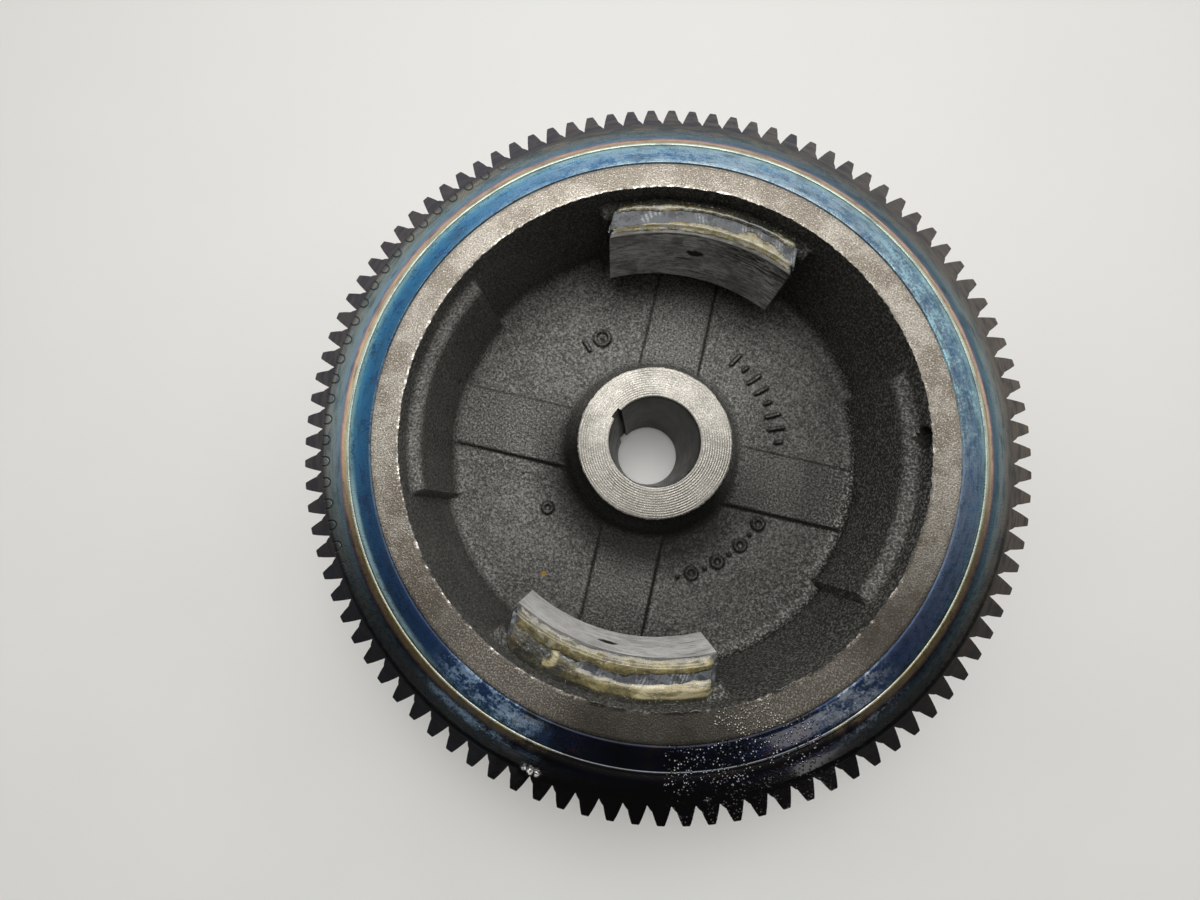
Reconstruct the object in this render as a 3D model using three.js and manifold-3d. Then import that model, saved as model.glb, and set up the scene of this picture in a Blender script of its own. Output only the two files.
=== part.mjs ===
// Flywheel of a large single-cylinder engine with an electric starter.
//
// An iron casting carries a shrunk-on starter ring gear, two charging magnets with steel pole
// plates inside the cup, and an ignition magnet with two pole shoes let into the rim.
//
// Units are millimetres. Z is the crankshaft axis, with +Z out of the open cup (the engine side).
// The origin is the centre of the fan-side boss face, which is the lowest face of the part.
// The charging magnets lie on +Y and -Y, and the bare magnet seats lie on +X and -X.

import * as THREE from 'three';
import { mergeVertices } from 'three/addons/utils/BufferGeometryUtils.js';
import Module from 'manifold-3d';

const wasm = await Module();
wasm.setup();

// ---- driving dimensions ----

const GAP = 0.3;                  // clearance between touching pieces
const STEPS = 90;                 // sides of each turned surface
const SMALL_STEPS = 16;           // sides of a drilled hole

// Heights
const RIM_Z = 63.5;               // machined rim face on the engine side
const HUB_Z = 39.25;              // machined hub face inside the cup
const WEB_Z = 21.2;               // cup floor
const WEB_BACK_Z = 11.5;          // web on the fan side
const FAN_FACE_Z = 8;             // machined ring that the cooling fan sits on
const SHOULDER_Z = 52.2;          // shoulder that the ring gear is pressed against

// Radii of the casting
const RIM_OUT_R = 97.5;
const RING_SEAT_R = 91.6;
const CUP_R = 82.8;
const HUB_R = 28.06;
const HUB_FOOT_R = 32.7;
const BOSS_R = 27;
const FAN_FACE_IN_R = 84.5;

// Tapered bore, 1 in 5 on the diameter, and its key slot
const BORE_R = 16.6;
const BORE_END_R = BORE_R - HUB_Z / 10;
const KEY_WIDTH = 4;
const KEY_DEPTH = 1.5;            // the slot's floor runs parallel to the taper
const KEY_ANGLE = 156.4;

// Starter ring gear
const TEETH = 99;
const GEAR_MODULE = 2.25;
const PRESSURE_ANGLE = Math.PI / 9;
const FIRST_TOOTH = 2.2;          // angle of one tooth, degrees
const GEAR_LAND_R = 98.6;         // raised inner land, level with the rim face
const GEAR_FACE_Z = RIM_Z - 1.4;  // end face of the teeth

// Magnet seats and charging magnets
const SEAT_R = 79.3;
const SEAT_HALF_ANGLE = 27;
const SEAT_LIP_Z = RIM_Z - 9;     // inner edge of the sloping ledge on top of a seat
const SEAT_WALL_Z = RIM_Z - 5.5;  // outer edge of the same ledge
const MAGNET_WIDTH = 64;
const MAGNET_TOP_Z = RIM_Z - 4.9;
const MAGNET_LOW_Z = RIM_Z - 32.9;
const MAGNET_OUT_R = SEAT_R - 0.35;
const MAGNET_IN_R = 72.2;
const PLATE_OUT_R = MAGNET_IN_R - GAP;
const PLATE_IN_R = 69.5;

// Raised cross on the cup floor
const BAND_WIDTH = 24;
const BAND_RISE = 0.95;
const CROSS_BAND_SHIFT = -3;      // the band along X lies this far off the axis in Y

// Fan side details
const DOWEL_CIRCLE_R = 60;
const DOWEL_HOLE_R = 2.75;
const DOWEL_BOSS_R = 8;
const DOWEL_DEPTH = 7;
const BALANCE_CIRCLE_R = 90;
const BALANCE_R = 4.5;
const BALANCE_DEPTH = 6;
const BALANCE_ANGLES = [205, 217];

// Ignition magnet group, let into the outside of the rim
const IGNITION_ANGLE = 11.5;
const IGNITION_Z = 30;
const POCKET_FLOOR_R = 88.5;
const POCKET_WIDTH = 47;
const POCKET_HEIGHT = 22;
const SHOE_OUT_R = 98.2;
const SHOE_WIDTH = 14;
const SCREW_R = 2;
const SCREW_HEAD_R = 3.6;
const SCREW_REACH = 6;            // thread below the pocket floor

// ---- materials ----

function finish(color, roughness, metalness) {
    return new THREE.MeshStandardMaterial({ color, roughness, metalness });
}

const castIron = finish(0x4b4c4a, 0.75, 0.6);
const gearSteel = finish(0x4a6678, 0.4, 0.9);
const ferrite = finish(0x565d66, 0.6, 0.2);
const plateSteel = finish(0x8d8c88, 0.45, 0.85);
const adhesive = finish(0xb3a878, 0.35, 0);
const shoeSteel = finish(0x77746e, 0.5, 0.85);
const potting = finish(0x26241f, 0.5, 0);
const screwSteel = finish(0x55534e, 0.4, 0.9);

// ---- solids ----

/** Closed three.js geometry to a manifold solid. */
function solid(geometry) {
    const plain = geometry.clone();
    plain.deleteAttribute('normal');
    plain.deleteAttribute('uv');
    const merged = mergeVertices(plain, 1e-4);
    const source = merged.index.array;
    const triangles = [];
    for (let i = 0; i < source.length; i += 3) {
        const [a, b, c] = [source[i], source[i + 1], source[i + 2]];
        if (a !== b && b !== c && c !== a) triangles.push(a, b, c);
    }
    return new wasm.Manifold(new wasm.Mesh({
        numProp: 3,
        vertProperties: new Float32Array(merged.attributes.position.array),
        triVerts: new Uint32Array(triangles),
    }));
}

/** Manifold solid to a named mesh. */
function piece(name, body, material) {
    const { vertProperties, triVerts } = body.getMesh();
    const geometry = new THREE.BufferGeometry();
    geometry.setAttribute('position', new THREE.BufferAttribute(vertProperties, 3));
    geometry.setIndex(new THREE.BufferAttribute(triVerts, 1));
    geometry.computeVertexNormals();
    const mesh = new THREE.Mesh(geometry, material);
    mesh.name = name;
    return mesh;
}

/** Solid turned about Z from a closed [radius, height] outline, counter-clockwise. */
function turned(outline, steps = STEPS) {
    const points = [...outline, outline[0]].map(([r, z]) => new THREE.Vector2(r, z));
    return solid(new THREE.LatheGeometry(points, steps).rotateX(Math.PI / 2));
}

/** Box from its low and high corners. */
function block([x0, y0, z0], [x1, y1, z1]) {
    const box = new THREE.BoxGeometry(x1 - x0, y1 - y0, z1 - z0);
    return solid(box.translate((x0 + x1) / 2, (y0 + y1) / 2, (z0 + z1) / 2));
}

/** Upright cylinder or cone on Z, at [x, y]. */
function post([x, y], lowZ, highZ, lowR, highR = lowR, steps = SMALL_STEPS) {
    const shape = new THREE.CylinderGeometry(highR, lowR, highZ - lowZ, steps);
    return solid(shape.rotateX(Math.PI / 2).translate(x, y, (lowZ + highZ) / 2));
}

/** Round bar along X at height z and sideways place y, between two radii from the axis. */
function radialBar(fromX, toX, y, z, fromR, toR = fromR, steps = SMALL_STEPS) {
    const shape = new THREE.CylinderGeometry(toR, fromR, toX - fromX, steps);
    return solid(shape.rotateZ(-Math.PI / 2).translate((fromX + toX) / 2, y, z));
}

function turnBy(body, degrees) {
    return body.rotate([0, 0, degrees]);
}

function onCircle(radius, degrees) {
    const a = THREE.MathUtils.degToRad(degrees);
    return [radius * Math.cos(a), radius * Math.sin(a)];
}

// ---- casting ----

function castingOutline() {
    return [
        [BORE_END_R, 0], [BOSS_R - 1, 0], [BOSS_R, 1], [BOSS_R + 2.5, 8], [BOSS_R + 6, WEB_BACK_Z],
        [FAN_FACE_IN_R - 4, WEB_BACK_Z], [FAN_FACE_IN_R, FAN_FACE_Z],
        [RIM_OUT_R - 2, FAN_FACE_Z], [RIM_OUT_R, FAN_FACE_Z + 2],
        [RIM_OUT_R, SHOULDER_Z - 1], [RIM_OUT_R - 1, SHOULDER_Z], [RING_SEAT_R, SHOULDER_Z],
        [RING_SEAT_R, RIM_Z - 0.4], [RING_SEAT_R - 0.4, RIM_Z], [CUP_R, RIM_Z],
        [CUP_R, WEB_Z + 4], [CUP_R - 1.2, WEB_Z + 1.2], [CUP_R - 4, WEB_Z],
        [HUB_FOOT_R + 3.5, WEB_Z], [HUB_FOOT_R + 1, WEB_Z + 0.9], [HUB_FOOT_R, WEB_Z + 3],
        [HUB_R + 1.2, WEB_Z + 8], [HUB_R, WEB_Z + 12],
        [HUB_R, HUB_Z - 0.4], [HUB_R - 0.4, HUB_Z], [BORE_R + 0.4, HUB_Z], [BORE_R, HUB_Z - 0.4],
    ];
}

/** Wedge-shaped prism about +X that limits a turned solid to a span of angles. */
function wedge(halfAngle, lowZ, highZ) {
    const reach = RIM_OUT_R * 1.2;
    const [x, y] = onCircle(reach, halfAngle);
    const shape = new THREE.Shape([[0, 0], [x, -y], [x, y]].map(([a, b]) => new THREE.Vector2(a, b)));
    const prism = new THREE.ExtrudeGeometry(shape, { depth: highZ - lowZ, bevelEnabled: false });
    return solid(prism.translate(0, 0, lowZ));
}

function magnetSeat() {
    const buried = 3;
    const ring = turned([
        [SEAT_R, WEB_Z - buried], [CUP_R + buried, WEB_Z - buried],
        [CUP_R + buried, SEAT_WALL_Z], [CUP_R, SEAT_WALL_Z], [SEAT_R, SEAT_LIP_Z],
    ]);
    return ring.intersect(wedge(SEAT_HALF_ANGLE, 0, RIM_Z));
}

/** Raised band along +X, with its middle line moved sideways. */
function floorBand(sideways) {
    const half = BAND_WIDTH / 2;
    return block([HUB_R, sideways - half, WEB_Z - 2], [CUP_R, sideways + half, WEB_Z + BAND_RISE]);
}

function keySlot() {
    const past = 1;
    const corners = [
        [0, -past], [BORE_END_R + KEY_DEPTH - past / 10, -past],
        [BORE_R + KEY_DEPTH + past / 10, HUB_Z + past], [0, HUB_Z + past],
    ];
    const side = new THREE.Shape(corners.map(([x, z]) => new THREE.Vector2(x, z)));
    const prism = new THREE.ExtrudeGeometry(side, { depth: KEY_WIDTH, bevelEnabled: false });
    const slot = solid(prism.translate(0, 0, -KEY_WIDTH / 2).rotateX(Math.PI / 2));
    return turnBy(slot, KEY_ANGLE);
}

function ignitionPocket() {
    const half = POCKET_WIDTH / 2;
    const low = IGNITION_Z - POCKET_HEIGHT / 2;
    let cut = block([POCKET_FLOOR_R, -half, low], [RIM_OUT_R + 5, half, low + POCKET_HEIGHT]);
    for (const side of [-1, 1]) {
        const hole = radialBar(POCKET_FLOOR_R - SCREW_REACH - 0.5, POCKET_FLOOR_R + 1,
            side * shoeCentre(), IGNITION_Z, SCREW_R + GAP);
        cut = cut.add(hole);
    }
    return turnBy(cut, IGNITION_ANGLE);
}

function casting() {
    let body = turned(castingOutline());
    const bandSide = [1, 0, -1, 0];
    for (let quarter = 0; quarter < 4; quarter++) {
        const angle = quarter * 90;
        const centre = onCircle(DOWEL_CIRCLE_R, angle);
        body = body.add(turnBy(magnetSeat(), angle));
        body = body.add(turnBy(floorBand(CROSS_BAND_SHIFT * bandSide[quarter]), angle));
        body = body.add(post(centre, FAN_FACE_Z, WEB_BACK_Z + 1, DOWEL_BOSS_R, DOWEL_BOSS_R + 1));
        body = body.subtract(post(centre, 0, FAN_FACE_Z + DOWEL_DEPTH, DOWEL_HOLE_R));
    }
    for (const angle of BALANCE_ANGLES) {
        const centre = onCircle(BALANCE_CIRCLE_R, angle);
        body = body.subtract(post(centre, 0, FAN_FACE_Z + BALANCE_DEPTH, BALANCE_R));
        const tipZ = FAN_FACE_Z + BALANCE_DEPTH;
        body = body.subtract(post(centre, tipZ - 0.1, tipZ + 2, BALANCE_R, 0.2));
    }
    return body.subtract(keySlot()).subtract(ignitionPocket());
}

// ---- ring gear ----

/** Half the angle that an involute tooth fills at a radius, in radians. */
function toothHalfAngle(radius) {
    const pitchR = GEAR_MODULE * TEETH / 2;
    const baseR = pitchR * Math.cos(PRESSURE_ANGLE);
    const involute = (a) => Math.tan(a) - a;
    return Math.PI / (2 * TEETH) + involute(PRESSURE_ANGLE) - involute(Math.acos(baseR / radius));
}

function gearOutline() {
    const pitchR = GEAR_MODULE * TEETH / 2;
    const radii = [pitchR - 1.25 * GEAR_MODULE, pitchR, pitchR + GEAR_MODULE];
    const points = [];
    for (let tooth = 0; tooth < TEETH; tooth++) {
        const middle = THREE.MathUtils.degToRad(FIRST_TOOTH) + tooth * 2 * Math.PI / TEETH;
        const rising = radii.map((r) => [r, middle - toothHalfAngle(r)]);
        const falling = radii.map((r) => [r, middle + toothHalfAngle(r)]).reverse();
        for (const [r, a] of [...rising, ...falling]) {
            points.push(new THREE.Vector2(r * Math.cos(a), r * Math.sin(a)));
        }
    }
    return points;
}

function ringGear() {
    const shape = new THREE.Shape(gearOutline());
    const teeth = solid(new THREE.ExtrudeGeometry(shape, {
        depth: GEAR_FACE_Z - SHOULDER_Z - GAP, bevelEnabled: false,
    }).translate(0, 0, SHOULDER_Z + GAP));
    const land = turned([
        [RING_SEAT_R - 2, GEAR_FACE_Z - 2], [GEAR_LAND_R + 1.2, GEAR_FACE_Z - 2],
        [GEAR_LAND_R + 1.2, GEAR_FACE_Z], [GEAR_LAND_R, RIM_Z], [RING_SEAT_R - 2, RIM_Z],
    ]);
    const hole = post([0, 0], 0, RIM_Z + 1, RING_SEAT_R + GAP, RING_SEAT_R + GAP, STEPS);
    return teeth.add(land).subtract(hole);
}

// ---- charging magnets ----

/** Arc-shaped piece on +Y with flat, parallel ends, from a closed [radius, height] outline. */
function arcPiece(outline, width) {
    return turned(outline).intersect(block([-width / 2, 0, 0], [width / 2, RIM_OUT_R, RIM_Z]));
}

function chargeMagnet() {
    return arcPiece([
        [MAGNET_IN_R, MAGNET_LOW_Z], [MAGNET_OUT_R, MAGNET_LOW_Z],
        [MAGNET_OUT_R, MAGNET_TOP_Z], [MAGNET_IN_R, MAGNET_TOP_Z],
    ], MAGNET_WIDTH);
}

function polePlate() {
    return arcPiece([
        [PLATE_IN_R, MAGNET_LOW_Z], [PLATE_OUT_R, MAGNET_LOW_Z],
        [PLATE_OUT_R, MAGNET_TOP_Z - 0.6], [PLATE_IN_R, MAGNET_TOP_Z - 0.6],
    ], MAGNET_WIDTH - 1.5);
}

/** Squeezed-out adhesive over the joint between pole plate and magnet. */
function innerBead() {
    const base = MAGNET_TOP_Z + GAP;
    return arcPiece([
        [PLATE_IN_R + 0.7, base], [MAGNET_IN_R + 1.4, base],
        [MAGNET_IN_R + 1.1, base + 0.6], [PLATE_IN_R + 1.2, base + 0.6],
    ], MAGNET_WIDTH - 3);
}

/** Adhesive fillet between the magnet, its seat's ledge and the cup wall. */
function outerBead() {
    const base = MAGNET_TOP_Z + GAP;
    const wallR = CUP_R - 0.35;
    return arcPiece([
        [SEAT_R, SEAT_LIP_Z + 0.6], [wallR, SEAT_WALL_Z + 0.3], [wallR, base - 0.2],
        [SEAT_R + 0.5, base + 0.7], [MAGNET_OUT_R - 1.8, base + 0.5], [MAGNET_OUT_R - 1.8, base],
        [SEAT_R, base],
    ], MAGNET_WIDTH - 1);
}

// ---- ignition magnet group ----

function shoeCentre() {
    return (POCKET_WIDTH - SHOE_WIDTH) / 2 - GAP;
}

/** Part of the group on +X between two radii and two sideways limits, with a curved outside. */
function rimInsert(fromR, toR, fromY, toY) {
    const low = IGNITION_Z - POCKET_HEIGHT / 2 + GAP;
    const high = IGNITION_Z + POCKET_HEIGHT / 2 - GAP;
    const drum = post([0, 0], low, high, toR, toR, STEPS);
    return drum.intersect(block([fromR, fromY, 0], [RIM_OUT_R + 5, toY, RIM_Z]));
}

function poleShoe(side) {
    const middle = side * shoeCentre();
    const shoe = rimInsert(POCKET_FLOOR_R + GAP, SHOE_OUT_R,
        middle - SHOE_WIDTH / 2, middle + SHOE_WIDTH / 2);
    const hole = radialBar(POCKET_FLOOR_R, SHOE_OUT_R + 1, middle, IGNITION_Z, SCREW_R + GAP);
    const sinkX = screwHeadX() - SCREW_HEAD_R - GAP;
    const sink = radialBar(sinkX, screwHeadX() + 3, middle, IGNITION_Z, GAP, SCREW_HEAD_R + 3 + GAP);
    return turnBy(shoe.subtract(hole).subtract(sink), IGNITION_ANGLE);
}

function screwHeadX() {
    return Math.sqrt(SHOE_OUT_R ** 2 - shoeCentre() ** 2) - 1.1;
}

function shoeScrew(side) {
    const middle = side * shoeCentre();
    const headX = screwHeadX();
    const shank = radialBar(POCKET_FLOOR_R - SCREW_REACH, headX - 1, middle, IGNITION_Z, SCREW_R);
    const head = radialBar(headX - SCREW_HEAD_R, headX, middle, IGNITION_Z, 0.05, SCREW_HEAD_R);
    const socket = radialBar(headX - 1.8, headX + 1, middle, IGNITION_Z, 1.3, 1.3, 6);
    return turnBy(shank.add(head).subtract(socket), IGNITION_ANGLE);
}

function ignitionBlockHalf() {
    return shoeCentre() - SHOE_WIDTH / 2 - GAP;
}

function ignitionMagnet() {
    const half = ignitionBlockHalf();
    return turnBy(rimInsert(POCKET_FLOOR_R + GAP, 95.2, -half, half), IGNITION_ANGLE);
}

function ignitionPotting() {
    const half = ignitionBlockHalf();
    const magnetTop = 95.2 + GAP;
    return turnBy(rimInsert(magnetTop, RIM_OUT_R - 0.2, -half, half), IGNITION_ANGLE);
}

// ---- assembly ----

const flywheel = new THREE.Group();
flywheel.add(piece('flywheel_casting', casting(), castIron));
flywheel.add(piece('starter_ring_gear', ringGear(), gearSteel));

for (const [place, turn] of [['upper', 0], ['lower', 180]]) {
    flywheel.add(piece(`charge_magnet_${place}`, turnBy(chargeMagnet(), turn), ferrite));
    flywheel.add(piece(`pole_plate_${place}`, turnBy(polePlate(), turn), plateSteel));
    flywheel.add(piece(`plate_adhesive_${place}`, turnBy(innerBead(), turn), adhesive));
    flywheel.add(piece(`seat_adhesive_${place}`, turnBy(outerBead(), turn), adhesive));
}

flywheel.add(piece('ignition_magnet', ignitionMagnet(), ferrite));
flywheel.add(piece('ignition_potting', ignitionPotting(), potting));
for (const [place, side] of [['leading', 1], ['trailing', -1]]) {
    flywheel.add(piece(`ignition_pole_shoe_${place}`, poleShoe(side), shoeSteel));
    flywheel.add(piece(`ignition_shoe_screw_${place}`, shoeScrew(side), screwSteel));
}

export default flywheel;
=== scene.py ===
"""Looks for the flywheel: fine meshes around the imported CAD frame, procedural materials,
floor, light and camera.

Lengths in this script are millimetres until a mesh is made, and angles are degrees about
the crankshaft axis. The CAD axes are used throughout: +Z out of the open cup, charging
magnets on +Y and -Y, bare magnet seats on +X and -X.
"""
import functools
import itertools
import math

import bpy
import numpy as np
from mathutils import Matrix, Vector


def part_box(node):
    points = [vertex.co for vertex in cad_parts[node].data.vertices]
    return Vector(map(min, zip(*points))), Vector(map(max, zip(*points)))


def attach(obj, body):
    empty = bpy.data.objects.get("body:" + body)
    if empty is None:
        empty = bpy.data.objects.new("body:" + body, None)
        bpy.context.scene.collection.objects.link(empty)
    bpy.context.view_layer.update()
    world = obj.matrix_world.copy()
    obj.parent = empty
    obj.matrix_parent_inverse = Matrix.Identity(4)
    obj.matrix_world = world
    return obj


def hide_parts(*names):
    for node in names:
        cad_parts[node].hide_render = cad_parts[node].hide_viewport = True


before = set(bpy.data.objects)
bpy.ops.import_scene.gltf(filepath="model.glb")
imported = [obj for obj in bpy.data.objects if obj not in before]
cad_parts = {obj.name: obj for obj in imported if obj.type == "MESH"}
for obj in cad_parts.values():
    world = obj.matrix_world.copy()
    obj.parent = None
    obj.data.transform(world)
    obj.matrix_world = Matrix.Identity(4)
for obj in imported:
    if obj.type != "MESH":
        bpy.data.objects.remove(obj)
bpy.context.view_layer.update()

MM = 0.001


# ---------------------------------------------------------------- sizes

def node_box(name):
    """Lowest and highest corner of a CAD node, in millimetres."""
    low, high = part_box(name)
    return low / MM, high / MM


CASTING_HIGH = node_box("flywheel_casting")[1]
PLATE_HIGH = node_box("pole_plate_upper")[1]
MAGNET_LOW, MAGNET_HIGH = node_box("charge_magnet_upper")
SHOE_LOW, SHOE_HIGH = node_box("ignition_pole_shoe_leading")

RIM_Z = CASTING_HIGH.z
RIM_OUT_R = CASTING_HIGH.x
GEAR_LOW_Z = node_box("starter_ring_gear")[0].z
MAGNET_LOW_Z = MAGNET_LOW.z
MAGNET_TOP_Z = MAGNET_HIGH.z
MAGNET_OUT_R = MAGNET_HIGH.y
MAGNET_HALF = MAGNET_HIGH.x
PLATE_TOP_Z = PLATE_HIGH.z
PLATE_HALF = PLATE_HIGH.x
SHOE_HALF_TALL = (SHOE_HIGH.z - SHOE_LOW.z) / 2
IGNITION_Z = (SHOE_HIGH.z + SHOE_LOW.z) / 2

# Air between two pieces of the CAD model
GAP = 0.3

# The part lies turned by this much in front of the camera.
LAYOUT_TURN = 13.3

# Casting
RING_SEAT_R = 91.6
CUP_R = 82.8
WEB_Z = 21.2
WEB_BACK_Z = 11.5
FAN_FACE_Z = 8.0
FAN_FACE_IN_R = 84.5
SHOULDER_Z = 52.2
HUB_Z = 39.25
HUB_R = 28.06
BOSS_R = 27.0
BORE_R = 16.6
BORE_END_R = BORE_R - HUB_Z / 10
KEY_ANGLE = 156.4
KEY_HALF = 2.0
KEY_DEPTH = 1.5
KEY_CROWDING = 30.0
SEAT_DEPTH = CUP_R - 79.3
SEAT_HALF_ANGLE = 27.0
SEAT_LIP_Z = RIM_Z - 10.0
WALL_PITS = (
    # angle, height, radius and depth
    (11.5, RIM_Z - 3.8, 3.9, 2.8),
    (174.7, WEB_Z + 9.0, 1.3, 1.4),
)
SEAT_WALL_Z = RIM_Z - 5.5
SEAT_FLOOR_R = 58.0
BAND_HALF = 12.0
BAND_RISE = 1.15
CROSS_BAND_SHIFT = -3.0
DOWEL_CIRCLE_R = 60.0
DOWEL_HOLE_R = 2.75
DOWEL_DEPTH = 7.0
BALANCE_CIRCLE_R = 90.0
BALANCE_R = 4.5
BALANCE_DEPTH = 6.0
BALANCE_ANGLES = (205.0, 217.0)

# Ring gear
TEETH = 99
FIRST_TOOTH = 2.2
GEAR_MODULE = 2.25
GEAR_BORE_R = RING_SEAT_R + 0.2
GEAR_FACE_Z = RIM_Z - 1.4
TEETH_DROP = 0.22

# Magnets
MAGNET_IN_R = 72.2
PLATE_IN_R = 69.5
PLATE_OUT_R = MAGNET_IN_R - GAP

# Spacing of the turning grooves on the hub face and of the grinding marks on the magnets
GROOVE_PITCH = 0.86
GRINDING_PITCH = 0.95

# Ignition magnet group
IGNITION_ANGLE = 11.5
POCKET_FLOOR_R = 88.5
POCKET_HALF = 23.5
POCKET_HALF_TALL = 11.0
SHOE_OUT_R = 98.2
SHOE_WIDTH = 14.0
SHOE_MIDDLE = POCKET_HALF - SHOE_WIDTH / 2 - GAP
SCREW_HOLE_R = 2.2
SCREW_THREAD_R = 2.15
SCREW_END_R = POCKET_FLOOR_R - 6
IGNITION_MAGNET_OUT_R = 95.2


# ---------------------------------------------------------------- small tools

def smooth(edge0, edge1, x):
    """0 below edge0, 1 above edge1, and a smooth step between."""
    t = np.clip((x - edge0) / (edge1 - edge0), 0, 1)
    return t * t * (3 - 2 * t)


def hashed(cells, seed):
    """A repeatable number from -1 to 1 for each whole-number lattice cell."""
    mixed = cells[..., 0] * 73856093 ^ cells[..., 1] * 19349663 ^ cells[..., 2] * 83492791
    mixed = (mixed + seed * 7919) & 0x7FFFFFFF
    mixed = ((mixed ^ (mixed >> 13)) * 1274126177) & 0x7FFFFFFF
    mixed = ((mixed ^ (mixed >> 11)) * 668265263) & 0x7FFFFFFF
    return ((mixed ^ (mixed >> 15)) & 0xFFFF) / 32767.5 - 1


def noise(points, cell, seed):
    """Smooth lattice noise, about -1 to 1, at points in millimetres."""
    scaled = points / cell
    base = np.floor(scaled).astype(np.int64)
    t = scaled - base
    t = t * t * (3 - 2 * t)
    total = np.zeros(points.shape[:-1])
    for corner in itertools.product((0, 1), repeat=3):
        offset = np.array(corner)
        weight = np.prod(np.where(offset, t, 1 - t), axis=-1)
        total += weight * hashed(base + offset, seed)
    return total


def angle_from(theta, middle):
    """Signed angle from middle, wrapped to -180..180."""
    return (theta - middle + 180) % 360 - 180


def add(name, data):
    """New object in the scene."""
    made = bpy.data.objects.new(name, data)
    bpy.context.scene.collection.objects.link(made)
    return made


def make_object(name, points, faces, materials, indices=None, sharp=35):
    """Mesh object from points in millimetres and a list of faces."""
    mesh = bpy.data.meshes.new(name)
    mesh.from_pydata([tuple(p) for p in np.asarray(points).reshape(-1, 3) * MM], [], faces)
    for material in materials:
        mesh.materials.append(material)
    if indices is not None:
        mesh.polygons.foreach_set("material_index", np.asarray(indices, np.int32))
    mesh.validate()
    mesh.polygons.foreach_set("use_smooth", np.ones(len(mesh.polygons), bool))
    mesh.set_sharp_from_angle(angle=math.radians(sharp))
    mesh.update()
    return add(name, mesh)


def ring_faces(rows, columns):
    """Quads of a grid that closes on itself both ways."""
    index = np.arange(rows * columns).reshape(rows, columns)
    up = np.roll(index, -1, axis=0)
    faces = np.stack([index, np.roll(index, -1, 1), np.roll(up, -1, 1), up], axis=-1)
    return faces.reshape(-1, 4).tolist()


def bar_faces(rows, columns):
    """Quads of a grid of rows of closed loops, with the two end loops capped."""
    index = np.arange(rows * columns).reshape(rows, columns)
    low, high = index[:-1], index[1:]
    faces = np.stack([low, np.roll(low, -1, 1), np.roll(high, -1, 1), high], axis=-1)
    caps = [index[0][::-1].tolist(), index[-1].tolist()]
    return faces.reshape(-1, 4).tolist() + caps


def finish_piece(piece, slot, *nodes):
    """The piece stands for those CAD nodes, which are hidden, and hangs from the root body."""
    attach(piece, "root")
    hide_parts(*nodes)


def modify(piece, kind, **settings):
    """Applies a modifier with those settings."""
    step = piece.modifiers.new("step", kind)
    for name, value in settings.items():
        setattr(step, name, value)
    bpy.context.view_layer.objects.active = piece
    bpy.ops.object.modifier_apply(modifier=step.name)


def cut(target, cutter):
    """Cuts a mesh object by another and removes the cutter."""
    modify(target, "BOOLEAN", operation="DIFFERENCE", solver="MANIFOLD", object=cutter)
    bpy.data.objects.remove(cutter)


def soften(piece, width, segments, angle=35):
    """Rounded edges on everything sharper than that angle."""
    limit = math.radians(angle)
    modify(piece, "BEVEL", width=width * MM, segments=segments, limit_method="ANGLE", angle_limit=limit)
    piece.data.polygons.foreach_set("use_smooth", np.ones(len(piece.data.polygons), bool))
    return piece


# ---------------------------------------------------------------- shader helpers

class Field:
    """A value that varies over a surface: the output of a node, with plain arithmetic."""

    def __init__(self, shader, socket):
        self.shader = shader
        self.socket = socket

    def __add__(self, other):
        return self.shader.math("ADD", self, other)

    def __sub__(self, other):
        return self.shader.math("SUBTRACT", self, other)

    def __rsub__(self, other):
        return self.shader.math("SUBTRACT", other, self)

    def __mul__(self, other):
        return self.shader.math("MULTIPLY", self, other)

    def __truediv__(self, other):
        return self.shader.math("DIVIDE", self, other)


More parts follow.
